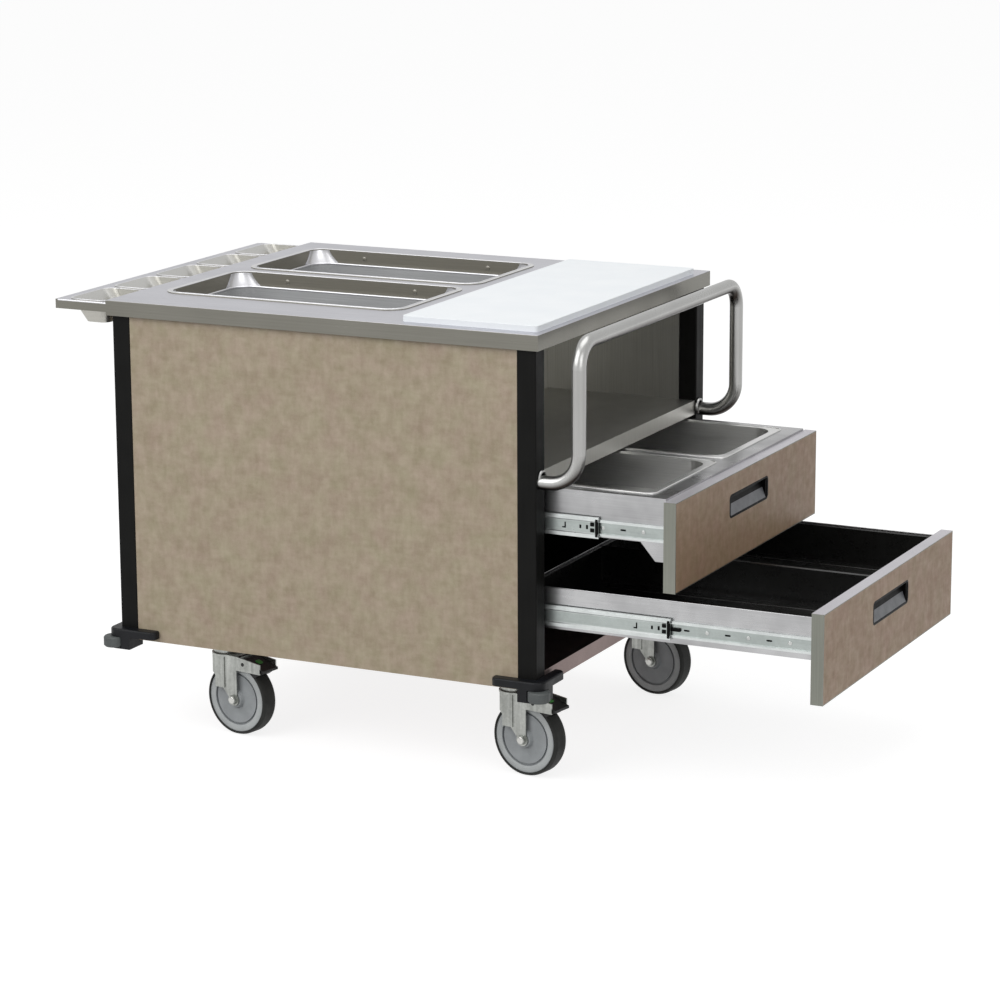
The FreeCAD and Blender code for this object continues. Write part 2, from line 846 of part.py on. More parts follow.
def build_handle():
    """Tube bent out of one post, up, across the end and back to the other."""
    half = (face_side - d.post_size / 2).value
    start = (face_right - row_origin).value
    reach = start + d.handle_reach.value
    low, high = d.handle_low.value, (d.top_height - d.handle_drop).value
    points = [FreeCAD.Vector(start, -half, low), FreeCAD.Vector(reach, -half, low),
              FreeCAD.Vector(reach, -half, high), FreeCAD.Vector(reach, half, high),
              FreeCAD.Vector(reach, half, low), FreeCAD.Vector(start, half, low)]
    bends = [d.handle_low_bend.value, d.handle_high_bend.value]
    path = doc.addObject("Part::Feature", "handle_path")
    path.Shape = rounded_path(points, bends + bends[::-1])
    path_edges = [f"Edge{k + 1}" for k in range(len(path.Shape.Edges))]
    tubes = []
    for name, radius in (("tube_outside", d.handle_radius),
                         ("tube_bore", d.handle_radius - d.handle_wall)):
        ring = doc.addObject("Part::Circle", f"{name}_ring")
        bind(ring, "Radius", radius)
        place(ring, face_right, -(face_side - d.post_size / 2), d.handle_low, 90, ACROSS)
        tube = doc.addObject("Part::Sweep", name)
        tube.Sections = [ring]
        tube.Spine = (path, path_edges)
        tube.Solid = True
        tubes.append(tube)
    handle = doc.addObject("Part::Cut", "push_handle")
    handle.Base, handle.Tool = tubes
    node("push_handle", handle)


def build_trough():
    """Flanged frame on the left end with a row of drawn pans welded in by their rims."""
    gauge = d.trough_gauge
    top = d.top_height - d.trough_drop
    length = d.top_width - 2 * d.trough_end_gap
    count = 5
    pitch = length / count
    mouth = (d.trough_reach - d.trough_flange - d.trough_inner_flange, pitch - d.trough_pan_gap)
    middle = -d.trough_inner_flange - mouth[0] / 2
    places = [pitch * (step + 0.5) - length / 2 for step in range(count)]
    frame = Piece("condiment_trough")
    outline = frame.sketch("XY")
    rectangle(outline, (-d.trough_reach, 0), centred(length))
    frame.pad(outline, d.trough_lip, backward=True)
    hollow = frame.sketch("XY", -d.trough_lip)
    rectangle(hollow, (gauge - d.trough_reach, -gauge), centred(length - 2 * gauge))
    frame.pocket(hollow, d.trough_lip - gauge, backward=True)
    holes = frame.sketch("XY")
    spread = gauge + d.trough_clearance
    for across in places:
        rounded(holes, mouth[0] + 2 * spread, mouth[1] + 2 * spread, d.trough_pan_round + spread,
                middle, across)
    frame.pocket(holes, 2 * gauge)
    place(frame.body, 0, 0, top)
    node("condiment_trough", frame.body)

    pans = []
    floor = (mouth[0] - d.trough_lean - d.trough_draft, mouth[1] - 2 * d.trough_draft)
    shift = (d.trough_lean - d.trough_draft) / 2
    rim_spread = d.trough_pan_rim
    for across in places:
        pan = Piece("trough_pan")
        rim = pan.sketch("XY")
        rounded(rim, mouth[0] + 2 * rim_spread, mouth[1] + 2 * rim_spread, d.trough_pan_round + rim_spread)
        pan.pad(rim, gauge)
        outside = pan.sketch("XY")
        rounded(outside, mouth[0] + 2 * gauge, mouth[1] + 2 * gauge, d.trough_pan_round + gauge)
        underside = pan.sketch("XY", -d.trough_depth)
        rounded(underside, floor[0] + 2 * gauge, floor[1] + 2 * gauge, d.trough_floor_round + gauge, shift)
        pan.loft(outside, underside)
        inside = pan.sketch("XY", gauge)
        rounded(inside, mouth[0], mouth[1], d.trough_pan_round)
        bottom = pan.sketch("XY", gauge - d.trough_depth)
        rounded(bottom, floor[0], floor[1], d.trough_floor_round, shift)
        pan.loft(inside, bottom, hollow=True)
        place(pan.body, middle, across, top)
        pans.append(pan.body)
    group("trough_pans", pans)


def outer_rim(proud, height):
    """Chooses the straight top edges of a bumper's two outward faces."""
    def chosen(edge):
        box = edge.BoundBox
        return max(box.XMin, box.YMin) > proud.value - 0.01 and box.ZMin > height.value - 0.01
    return chosen


def build_bumpers():
    """Corner bumpers with a fixed pin and a roller turning on it."""
    bumpers = []
    proud = d.bumper_proud
    arm = -d.bumper_arm
    window_top = -d.roller_cover
    for corner in CORNERS:
        bumper = Piece("bumper")
        arms = bumper.sketch("XY")
        polygon(arms, [(arm, 0), (0, 0), (0, arm), (proud, arm), (proud, proud), (arm, proud)])
        bumper.pad(arms, d.bumper_arm_height)
        seat = bumper.sketch("XY")
        rectangle(seat, (-d.bumper_block_in, proud), (-d.bumper_block_in, proud))
        bumper.pad(seat, d.bumper_block_height, backward=True)
        bumper.fillet(d.bumper_round, upright_at(proud, proud))
        bumper.fillet(d.bumper_tip_round, upright_at(arm, proud))
        bumper.fillet(d.bumper_tip_round, upright_at(proud, arm))
        bumper.fillet(d.bumper_edge_round, outer_rim(proud, d.bumper_arm_height))
        window = bumper.sketch("XY", window_top)
        circle(window, d.roller_radius + d.roller_room, d.roller_offset, d.roller_offset)
        circle(window, d.roller_pin, d.roller_offset, d.roller_offset)
        bumper.pocket(window, d.roller_height)
        place(bumper.body, corner.x, corner.y, d.post_foot, corner.turn)
        bumpers.append(bumper.body)

        roller = Piece("roller")
        section = roller.sketch("XZ")
        bore = d.roller_pin + d.running_clearance
        edge = d.roller_radius - d.roller_chamfer
        height = d.roller_height - 2 * d.end_play
        polygon(section, [(bore, 0), (edge, 0), (d.roller_radius, d.roller_chamfer),
                          (d.roller_radius, height - d.roller_chamfer), (edge, height), (bore, height)])
        roller.revolve(section, "V_Axis")
        place(roller.body, corner.x + corner.end * d.roller_offset,
              corner.y + corner.side * d.roller_offset,
              d.post_foot + window_top - d.roller_height + d.end_play)
        node(f"bumper_roller_{corner.name}", roller.body)
    group("corner_bumpers", bumpers)


def build_casters():
    """Top plates on the base pan, and the turning pieces under each."""
    plates = []
    for corner in CORNERS:
        plate = Piece("top_plate")
        outline = plate.sketch("XY", d.base_height - d.plate_gauge)
        rounded(outline, d.plate_length, d.plate_width, d.plate_round)
        plate.pad(outline, d.plate_gauge)
        race = plate.sketch("XZ")
        under = d.base_height - d.plate_gauge
        seat = d.crown_top + d.end_play
        head = d.crown_top - d.crown_gauge - d.end_play
        polygon(race, [(0, under), (0, head - d.kingpin_head_height),
                       (d.kingpin_head, head - d.kingpin_head_height), (d.kingpin_head, head),
                       (d.kingpin_radius, head), (d.kingpin_radius, seat), (d.race_radius, seat),
                       (d.race_top_radius, under)])
        plate.revolve(race, "V_Axis")
        place(plate.body, corner.swivel_x, corner.swivel_y)
        plates.append(plate.body)
        build_fork(corner)
        build_wheel(corner)
        build_pedal(corner)
    group("caster_top_plates", plates)


def place_on_swivel(piece, corner):
    """Stands a piece on the swivel axis of a corner, turned with the fork."""
    place(piece.body, corner.swivel_x, corner.swivel_y, 0, d.caster_turn)


def build_fork(corner):
    """Pressed fork: crown, two legs, the web between them, and the axle bolt."""
    fork = Piece("fork")
    under = d.crown_top - d.crown_gauge
    span = d.fork_gap + d.fork_gauge
    crown = fork.sketch("XY", under)
    circle(crown, d.crown_radius)
    fork.pad(crown, d.crown_gauge)
    bridge = fork.sketch("XY", under)
    rectangle(bridge, (-d.fork_back, d.fork_front), (-span, span))
    fork.pad(bridge, d.crown_gauge)
    for start in (d.fork_gap, -span):
        leg = fork.sketch("XZ", start)
        polygon(leg, [(-d.fork_back, d.crown_top), (d.fork_front, d.crown_top),
                      (d.fork_arm, d.fork_arm_tip), (d.fork_arm, d.fork_arm_low),
                      (d.caster_trail + d.fork_eye * 0.7, d.fork_arm_low),
                      (d.caster_trail + d.fork_eye * 0.7, hub_height),
                      (d.caster_trail - d.fork_eye * 0.7, hub_height),
                      (-d.fork_back, d.fork_shin)])
        fork.pad(leg, d.fork_gauge)
        eye = fork.sketch("XZ", start)
        circle(eye, d.fork_eye, d.caster_trail, hub_height)
        fork.pad(eye, d.fork_gauge)
    for start in (span, -span - d.fork_rib_height):
        rib = fork.sketch("XZ", start)
        rib_middle = (d.fork_front - d.fork_back) / 2 - d.fork_rib_width / 2
        rectangle(rib, (rib_middle - d.fork_rib_width / 2, rib_middle + d.fork_rib_width / 2),
                  (d.fork_rib_low, under))
        fork.pad(rib, d.fork_rib_height)
    web = fork.sketch("XY", d.fork_web_low)
    rectangle(web, (-d.fork_back, d.fork_gauge - d.fork_back), (-d.fork_gap, d.fork_gap))
    fork.pad(web, under - d.fork_web_low)
    kingpin_hole = fork.sketch("XY", d.crown_top)
    circle(kingpin_hole, d.kingpin_radius + d.running_clearance)
    fork.pocket(kingpin_hole, d.crown_gauge * 2)
    holes = fork.sketch("XZ")
    circle(holes, d.axle_radius, d.caster_trail, hub_height)
    circle(holes, d.pedal_pin + d.running_clearance, d.pedal_pivot_place, d.pedal_pivot_height)
    fork.pocket(holes, 3 * span, symmetric=True)
    place_on_swivel(fork, corner)

    axle = Piece("axle")
    rod = axle.sketch("XZ")
    circle(rod, d.axle_radius, d.caster_trail, hub_height)
    axle.pad(rod, 2 * span, symmetric=True)
    for start in (span, -span - d.axle_head_height):
        head = axle.sketch("XZ", start)
        hexagon = [(d.caster_trail + d.axle_head * math.cos(k * math.pi / 3),
                    hub_height + d.axle_head * math.sin(k * math.pi / 3)) for k in range(6)]
        polygon(head, hexagon)
        axle.pad(head, d.axle_head_height)
    place_on_swivel(axle, corner)
    group(f"caster_fork_{corner.name}", [fork.body, axle.body])


def build_wheel(corner):
    """Wheel core with hub and rim, and the tyre round it."""
    hub_x = corner.swivel_x + d.caster_trail * cosine(d.caster_turn)
    hub_y = corner.swivel_y + d.caster_trail * sine(d.caster_turn)
    bore = d.axle_radius + d.running_clearance
    rim = d.core_radius - d.core_rim
    groove = rim - d.groove_width
    right_half = [(bore, d.hub_half_length), (d.hub_radius, d.hub_half_length),
                  (d.hub_radius + 3, d.core_disc_half), (groove, d.core_disc_half),
                  (groove, d.core_disc_half - d.groove_depth), (rim, d.core_disc_half - d.groove_depth),
                  (rim, d.core_half_width), (d.core_radius, d.core_half_width)]
    core = Piece("wheel_core")
    section = core.sketch("XY")
    polygon(section, right_half + [(radius, -width) for radius, width in right_half[::-1]])
    core.revolve(section, "V_Axis")
    place(core.body, hub_x, hub_y, hub_height, d.caster_turn)
    node(f"wheel_core_{corner.name}", core.body)

    tread = d.wheel_radius
    half = d.wheel_width / 2
    right_half = [(d.core_radius, d.core_half_width), (d.core_radius + 2, half), (tread - 2, half - 2),
                  (tread, half - 8)]
    tyre = Piece("wheel_tyre")
    section = tyre.sketch("XY")
    polygon(section, right_half + [(radius, -width) for radius, width in right_half[::-1]])
    tyre.revolve(section, "V_Axis")
    place(tyre.body, hub_x, hub_y, hub_height, d.caster_turn)
    node(f"wheel_tyre_{corner.name}", tyre.body)


def build_pedal(corner):
    """Foot pedal on two pins between the fork legs, with its shoe on the tyre."""
    pedal = Piece("pedal")
    pivot_x, pivot_z = d.pedal_pivot_place, d.pedal_pivot_height
    half_step = 7
    shoe_radius = (d.wheel_radius + d.shoe_gap) / math.cos(math.radians(half_step))
    shoe = []
    for step in range(3):
        angle = math.radians(72 - 2 * half_step * step)
        shoe.append((d.caster_trail + shoe_radius * math.cos(angle),
                     hub_height + shoe_radius * math.sin(angle)))
    tip = d.pedal_reach
    side = pedal.sketch("XZ")
    polygon(side, [(pivot_x - 10, pivot_z + 2)] + shoe
            + [(tip - 14, pivot_z - 18), (tip - 6, pivot_z - 14), (tip, pivot_z - 12), (tip, pivot_z - 7),
               (tip - 18, pivot_z - 1), (tip - 44, pivot_z + 9), (pivot_x + 2, pivot_z + 12),
               (pivot_x - 10, pivot_z + 8)])
    pedal.pad(side, 2 * d.pedal_half_width, symmetric=True)
    pins = pedal.sketch("XZ")
    circle(pins, d.pedal_pin, pivot_x, pivot_z)
    pedal.pad(pins, 2 * (d.fork_gap + d.fork_gauge), symmetric=True)
    place_on_swivel(pedal, corner)
    node(f"brake_pedal_{corner.name}", pedal.body)


class Drawer:
    """What the two drawers share: front, edge band, pull and slides."""

    def __init__(self, name, bottom, opened):
        self.name = name
        self.bottom = bottom
        self.opened = opened
        self.slide_height = bottom + d.slide_rise

    def build_front(self):
        """Front board with its edge band and flush pull."""
        x = face_right - d.front_thickness + self.opened
        band = d.front_edging
        across = centred(front_width - 2 * band)
        up = (band, d.front_height - band)
        pull_up = d.front_height - d.pull_drop
        outer_width = d.pull_width + 2 * d.pull_wall
        outer_height = d.pull_height + 2 * d.pull_wall
        outer_round = d.pull_round + d.pull_wall

        front = Piece("front")
        outline = front.sketch("YZ")
        rectangle(outline, across, up)
        front.pad(outline, d.front_thickness)
        seat = front.sketch("YZ", d.front_thickness)
        rounded(seat, outer_width, outer_height, outer_round, 0, pull_up)
        front.pocket(seat, d.pull_depth)
        place(front.body, x, 0, self.bottom)
        node(f"{self.name}_drawer_front", front.body)

        edging = Piece("edging")
        ring = edging.sketch("YZ")
        rectangle(ring, centred(front_width), (0, d.front_height))
        rectangle(ring, across, up)
        edging.pad(ring, d.front_thickness)
        place(edging.body, x, 0, self.bottom)
        node(f"{self.name}_drawer_edging", edging.body)

        pull = Piece("pull")
        cup = pull.sketch("YZ", d.front_thickness - d.pull_depth)
        rounded(cup, outer_width, outer_height, outer_round, 0, pull_up)
        pull.pad(cup, d.pull_depth)
        mouth = pull.sketch("YZ", d.front_thickness)
        rounded(mouth, d.pull_width, d.pull_height, d.pull_round, 0, pull_up)
        pull.pocket(mouth, d.pull_lip)
        scoop = pull.sketch("XZ")
        face = d.front_thickness
        back = face - d.pull_depth + d.pull_wall
        low, high = pull_up - d.pull_height / 2, pull_up + d.pull_height / 2
        polygon(scoop, [(face - d.pull_lip, low), (face, low), (face, high), (back, high),
                        (back, high - d.pull_height / 4)])
        pull.pocket(scoop, d.pull_width - 2 * d.pull_round, symmetric=True)
        place(pull.body, x, 0, self.bottom)
        node(f"{self.name}_drawer_pull", pull.body)

    def rail(self, upper, side, x):
        """A slide member from the upper half of its section, mirrored below."""
        lower = [(out, -height) for out, height in upper[::-1]]
        rail = Piece("slide")
        outline = rail.sketch("YZ")
        polygon(outline, [(-side * out, height) for out, height in upper + lower])
        rail.pad(outline, d.slide_length)
        place(rail.body, x, side * inner_side, self.slide_height)
        return rail.body

    def outer_member(self, side):
        """Cabinet member: a plain channel."""
        gauge = d.slide_gauge
        half = d.outer_half
        depth = d.outer_depth
        upper = [(gauge, half - gauge), (depth, half - gauge), (depth, half), (as_size(0), half)]
        return self.rail(upper, side, box_left)

    def middle_member(self, side):
        """Middle member: a channel, its web set back between two rails, with a ball track on each flange."""
        gauge = d.slide_gauge
        start = d.middle_start
        face = start + d.middle_recess
        half = d.middle_half
        depth = d.middle_depth
        foot = half - d.middle_rail
        track_from = start + 2
        track_to = track_from + d.track_width
        top = half + d.middle_track
        bend = foot + gauge / 2
        upper = [(face, foot - d.middle_recess), (start, foot), (start, half), (track_from, half),
                 (track_from, top), (track_to, top), (track_to, half), (depth, half),
                 (depth, half - gauge), (start + gauge, half - gauge), (start + gauge, bend),
                 (face + gauge, bend - d.middle_recess)]
        return self.rail(upper, side, box_left + self.opened / 2)

    def inner_member(self, side):
        """Drawer member: its web lies on the drawer and its flanges point outwards."""
        gauge = d.slide_gauge
        start = d.inner_start
        end = d.inner_depth
        half = d.inner_half
        top = half + d.inner_track
        track_from = start + 1
        track_to = track_from + d.track_width
        upper = [(end - gauge, half - gauge), (start, half - gauge), (start, half), (track_from, half),
                 (track_from, top), (track_to, top), (track_to, half), (end, half)]
        return self.rail(upper, side, box_left + self.opened)

    def build_slides(self):
        """Cabinet members, returned, and the moving members of both sides."""
        sides = SIDES.values()
        group(f"{self.name}_slide_middles", [self.middle_member(side) for side in sides])
        group(f"{self.name}_slide_members", [self.inner_member(side) for side in sides])
        return [self.outer_member(side) for side in sides]


def build_upper_body(drawer):
    """Sheet frame with two pan openings and front gussets, and the two pans."""
    gauge = d.sheet_gauge
    length = d.slide_length
    frame = Piece("frame")
    deck = frame.sketch("XY", -gauge)
    rectangle(deck, (0, length), centred(2 * box_half))
    hole_length = d.pan_length - 2 * d.pan_rim + 2 * d.pan_clearance
    hole_width = pan_width - 2 * d.pan_rim + 2 * d.pan_clearance
    for side in SIDES.values():
        rounded(deck, hole_length, hole_width, d.pan_round + d.pan_clearance,
                length / 2, side * pan_pitch / 2)
    frame.pad(deck, gauge)
    walls = frame.sketch("XY")
    rectangle(walls, (0, length), centred(2 * box_half))
    rectangle(walls, (gauge, length - gauge), centred(2 * (box_half - gauge)))
    frame.pad(walls, d.frame_depth, backward=True)
    low = -d.frame_depth
    for start in (box_half - gauge, -box_half):
        gusset = frame.sketch("XZ", start)
        polygon(gusset, [(length - d.gusset_length, low), (length - d.gusset_foot, low - d.gusset_depth),
                         (length, low - d.gusset_depth), (length, low + gauge),
                         (length - d.gusset_length, low + gauge)])
        frame.pad(gusset, gauge)
    place(frame.body, box_left + drawer.opened, 0, deck_height)
    node("upper_drawer_frame", frame.body)

    pans = []
    body_length = d.pan_length - 2 * d.pan_rim
    body_width = pan_width - 2 * d.pan_rim
    skin = 2 * d.pan_gauge
    for side in SIDES.values():
        pan = Piece("pan")
        rim = pan.sketch("XY")
        rounded(rim, d.pan_length, pan_width, d.pan_rim_round)
        pan.pad(rim, d.pan_gauge)
        body = pan.sketch("XY")
        rounded(body, body_length, body_width, d.pan_round)
        pan.pad(body, d.pan_depth, backward=True, taper=-d.pan_taper)
        hollow = pan.sketch("XY", d.pan_gauge)
        rounded(hollow, body_length - skin, body_width - skin, d.pan_round - d.pan_gauge)
        pan.pocket(hollow, d.pan_depth, taper=-d.pan_taper)
        place(pan.body, box_left + drawer.opened + length / 2, side * pan_pitch / 2, deck_height)
        pans.append(pan.body)
    group("upper_drawer_pans", pans)


def build_lower_body(drawer):
    """Open sheet box and the two tubs standing in it."""
    gauge = d.sheet_gauge
    length = d.slide_length
    box = Piece("box")
    outline = box.sketch("XY")
    rectangle(outline, (0, length), centred(2 * box_half))
    box.pad(outline, d.box_height)
    hollow = box.sketch("XY", d.box_height)
    rectangle(hollow, (gauge, length - gauge), centred(2 * (box_half - gauge)))
    box.pocket(hollow, d.box_height - gauge)
    place(box.body, box_left + drawer.opened, 0, box_bottom)
    node("lower_drawer_box", box.body)

    tub_length = length - 2 * gauge - 2 * d.tub_gap
    tub_width = box_half - gauge - 1.5 * d.tub_gap
    tubs = []
    for side in SIDES.values():
        tub = Piece("tub")
        outline = tub.sketch("XY")
        rounded(outline, tub_length, tub_width, d.tub_round)
        tub.pad(outline, d.tub_height)
        hollow = tub.sketch("XY", d.tub_height)
        rounded(hollow, tub_length - 2 * d.tub_wall, tub_width - 2 * d.tub_wall, d.tub_round - d.tub_wall)
        tub.pocket(hollow, d.tub_height - d.tub_wall)
        place(tub.body, box_left + drawer.opened + length / 2, side * (tub_width + d.tub_gap) / 2,
              box_bottom + gauge)
        tubs.append(tub.body)
    group("lower_drawer_liners", tubs)


def build_drawers():
    """Both drawers on their slides."""
    upper = Drawer("upper", upper_front_bottom, d.upper_open)
    lower = Drawer("lower", lower_front_bottom, d.lower_open)
    fixed = []
    for drawer in (upper, lower):
        drawer.build_front()
        fixed += drawer.build_slides()
    group("slide_cabinet_members", fixed)
    build_upper_body(upper)
    build_lower_body(lower)


def check_document():
    """Stops the build if any object failed or any piece has no sound shape."""
    for item in doc.Objects:
        if "Invalid" in item.State or "Error" in item.State:
            raise RuntimeError(f"{item.Label} failed: {item.State}")
    for label, item in nodes.items():
        if item.Shape.isNull() or not item.Shape.isValid():
            raise RuntimeError(f"{label} has no sound shape")


build_posts()
build_base_pan()
build_panels()
build_end_panel()
build_controls()
build_plate_bay()
build_worktop()
build_wells()
build_board()
build_handle()
build_trough()
build_bumpers()
build_casters()
build_drawers()
doc.recompute()
check_document()
for label, item in nodes.items():
    item.Shape.exportStep(f"parts/{label}.step")
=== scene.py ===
import logging
import math
from collections.abc import Iterable
from dataclasses import dataclass, field
from enum import Enum

import bmesh
import bpy
import numpy as np
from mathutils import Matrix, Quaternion, Vector


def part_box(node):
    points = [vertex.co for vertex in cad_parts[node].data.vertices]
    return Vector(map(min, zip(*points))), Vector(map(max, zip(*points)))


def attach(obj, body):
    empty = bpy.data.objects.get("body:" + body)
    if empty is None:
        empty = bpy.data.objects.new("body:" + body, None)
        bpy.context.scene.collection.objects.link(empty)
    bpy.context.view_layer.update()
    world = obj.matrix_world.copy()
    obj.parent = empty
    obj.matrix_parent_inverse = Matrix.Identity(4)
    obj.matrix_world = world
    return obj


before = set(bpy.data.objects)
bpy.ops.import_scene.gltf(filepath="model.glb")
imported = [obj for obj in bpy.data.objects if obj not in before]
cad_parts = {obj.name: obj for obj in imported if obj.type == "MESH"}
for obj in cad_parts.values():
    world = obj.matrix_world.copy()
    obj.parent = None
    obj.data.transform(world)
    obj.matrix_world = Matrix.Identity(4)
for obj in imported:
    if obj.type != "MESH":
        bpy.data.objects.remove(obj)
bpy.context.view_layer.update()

log = logging.getLogger("holding_cart")
MM = 0.001
UP = (0.0, 0.0, 1.0)
ORIGIN = (0.0, 0.0, 0.0)
SMOOTH_ANGLE = math.radians(38)
MERGE_REACH = 1e-7
Tree = bpy.types.NodeTree
Socket = bpy.types.NodeSocket


class Axis(Enum):
    """The direction that a grain runs in, by its number."""

    X = 0
    Y = 1
    Z = 2

    def widths(self, run_mm: float, line_mm: float) -> tuple[float, ...]:
        """The size of one line of the grain each way: long along this axis, fine across it."""
        return tuple(run_mm if way == self.value else line_mm for way in range(3))


class Cloud(Enum):
    """What a layer of a finish is made of, by the node that draws it."""

    SOFT = "ShaderNodeTexNoise"
    CRYSTALS = "ShaderNodeTexVoronoi"


class Film(Enum):
    """How a second colour lies over a pattern: as painted shade that darkens it, or as print that covers it.
    """

    PAINTED_SHADING = "MULTIPLY"
    PRINT = "MIX"


def even(size_mm: float) -> tuple[float, ...]:
    """The size each way of a cloud as wide as it is long and high."""
    return (size_mm, size_mm, size_mm)


def linear(colour: str) -> tuple[float, float, float, float]:
    """Turns an sRGB hex colour to linear light.

    Args:
        colour: six hex digits after a hash.

    Returns:
        Red, green, blue and a full alpha.
    """
    parts = np.array([int(colour[at:at + 2], 16) / 255.0 for at in (1, 3, 5)])
    light = np.where(parts <= 0.04045, parts / 12.92, ((parts + 0.055) / 1.055) ** 2.4)
    return (*light.tolist(), 1.0)


def add(tree: Tree, kind: str, inputs: dict | None = None, **settings: object) -> bpy.types.Node:
    """Adds one node, sets its properties, and fills or links its inputs.

    Args:
        tree: the tree that gets the node.
        kind: the node's type name.
        inputs: values or sockets by input name or number.
        settings: properties of the node.

    Returns:
        The new node.
    """
    made = tree.nodes.new(kind)
    for name, value in settings.items():
        setattr(made, name, value)
    for key, value in (inputs or {}).items():
        if isinstance(value, Socket):
            tree.links.new(value, made.inputs[key])
        else:
            made.inputs[key].default_value = value
    return made


@dataclass(frozen=True)
class Layer:
    """One layer of a finish: its size each way, its share of the tone and the finer clouds in it."""

    widths_mm: tuple[float, ...]
    share: float
    detail: float = 2.0
    cloud: Cloud = Cloud.SOFT

    def value(self, tree: Tree, place: Socket) -> Socket:
        """Draws the layer, with its sizes turned to repeats per metre.

        Args:
            tree: the material's tree.
            place: object coordinates in metres.

        Returns:
            The layer's value.
        """
        repeats = [1.0 / (width * MM) for width in self.widths_mm]
        sized = add(tree, "ShaderNodeMapping", {"Vector": place, "Scale": repeats})
        made = add(tree, self.cloud.value, {"Vector": sized.outputs[0], "Scale": 1.0, "Detail": self.detail})
        if self.cloud is Cloud.CRYSTALS:
            return add(tree, "ShaderNodeSeparateColor", {0: made.outputs["Color"]}).outputs[0]
        return made.outputs[0]


@dataclass(frozen=True)
class Finish:
    """What every finish has: two colours that its pattern moves between, and its gloss."""

    name: str
    colour: str
    shade: str
    roughness: float
    roughness_swing: float = 0.08
    metallic: float = 0.0
    bump_mm: float = 0.05
    specular: float = 0.5
    spread: float = 0.4
    film: Film = Film.PAINTED_SHADING

    def layers(self) -> tuple[Layer, ...]:
        """The layers of the pattern; the first one also gives the relief."""
        raise NotImplementedError

    def tint(self, tree: Tree, place: Socket) -> tuple | None:
        """The share and the colour of a second colour over the pattern; plain finishes have none."""
        return None

    def tone(self, tree: Tree, place: Socket, layers: tuple[Layer, ...],
             spread: float) -> tuple[Socket, Socket]:
        """Sum of layers by their shares, opened about one half and kept from 0 to 1.

        Args:
            tree: the material's tree.
            place: object coordinates in metres.
            layers: the layers, whose shares add up to one.
            spread: how much of the range round one half is opened to the whole.

        Returns:
            The tone, and the first layer's value for the relief.
        """
        values = [layer.value(tree, place) for layer in layers]
        total: Socket | float = 0.0
        for value, layer in zip(values, layers):
            total = add(tree, "ShaderNodeMath", {0: value, 1: layer.share, 2: total},
                        operation="MULTIPLY_ADD").outputs[0]
        opened = add(tree, "ShaderNodeMapRange", {0: total, 1: 0.5 - spread / 2, 2: 0.5 + spread / 2})
        return opened.outputs[0], values[0]

    def material(self) -> bpy.types.Material:
        """The finish as a material, made once and then shared.

        Returns:
            The material.
        """
        found = bpy.data.materials.get(self.name)
        if found is not None:
            return found
        made = bpy.data.materials.new(self.name)
        made.use_nodes = True
        tree = made.node_tree
        tree.nodes.clear()
        place = add(tree, "ShaderNodeTexCoord").outputs["Object"]
        tone, relief = self.tone(tree, place, self.layers(), self.spread)
        shown = add(tree, "ShaderNodeMix", {0: tone, 6: linear(self.shade), 7: linear(self.colour)},
                    data_type="RGBA").outputs[2]
        over = self.tint(tree, place)
        if over is not None:
            shown = add(tree, "ShaderNodeMix", {0: over[0], 6: shown, 7: over[1]},
                        data_type="RGBA", blend_type=self.film.value).outputs[2]
        dull = self.roughness + self.roughness_swing
        glossy = self.roughness - self.roughness_swing
        gloss = add(tree, "ShaderNodeMapRange", {0: tone, 3: dull, 4: glossy})
        bump = add(tree, "ShaderNodeBump", {"Height": relief, "Distance": self.bump_mm * MM, "Strength": 1.0})
        shader = add(tree, "ShaderNodeBsdfPrincipled",
                     {"Base Color": shown, "Roughness": gloss.outputs[0], "Normal": bump.outputs[0],
                      "Metallic": self.metallic, "Specular IOR Level": self.specular})
        add(tree, "ShaderNodeOutputMaterial", {"Surface": shader.outputs[0]})
        return made


@dataclass(frozen=True)
class BrushedSteel(Finish):
    """Stainless sheet brushed along one axis: fine bright lines with soft wiping marks over them."""

    metallic: float = 1.0
    spread: float = 0.42
    axis: Axis = Axis.X
    run_mm: float = 160.0
    line_mm: float = 1.6
    brush_share: float = 0.55
    wiping_mm: float = 140.0
    painted_shade: str = "#ffffff"
    shade_full_at: float = 0.35
    shade_gone_at: float = 0.85

    def layers(self) -> tuple[Layer, ...]:
        """Brush lines, drawn wider than the real grit so that they show, and wiping marks."""
        return (Layer(self.axis.widths(self.run_mm, self.line_mm), self.brush_share, detail=3.0),
                Layer(even(self.wiping_mm), 1.0 - self.brush_share, detail=3.0))

    def height(self, tree: Tree) -> Socket:
        """How far a face looks up, from -1 to 1: the height of its normal."""
        normal = add(tree, "ShaderNodeNewGeometry").outputs["Normal"]
        return add(tree, "ShaderNodeSeparateXYZ", {0: normal}).outputs[2]

    def light_facing(self, tree: Tree) -> Socket:
        """How far a face lies from upright; the upright sides get painted shade."""
        return add(tree, "ShaderNodeMath", {0: self.height(tree)}, operation="ABSOLUTE").outputs[0]

    def tint(self, tree: Tree, place: Socket) -> tuple | None:
        """Upright faces take painted shade, a duller colour that fades out towards the faces that look up or
        down.

        Args:
            tree: the material's tree.
            place: object coordinates in metres; not used.

        Returns:
            How much painted shade a face takes, and its colour.
        """
        # Painted shade: the colour follows how far each face turns from the light, not dirt or handling.
        ends = {1: self.shade_full_at, 2: self.shade_gone_at, 3: 1.0, 4: 0.0}
        shaded = add(tree, "ShaderNodeMapRange", {0: self.light_facing(tree), **ends})
        return shaded.outputs[0], linear(self.painted_shade)


@dataclass(frozen=True)
class SatinTube(BrushedSteel):
    """Satin tube: bright along its crown, with painted shade underneath."""

    painted_shade: str = "#4e4642"
    shade_full_at: float = -0.5
    shade_gone_at: float = 0.1

    def light_facing(self, tree: Tree) -> Socket:
        """How far a face looks up; faces turned down get painted shade."""
        return self.height(tree)


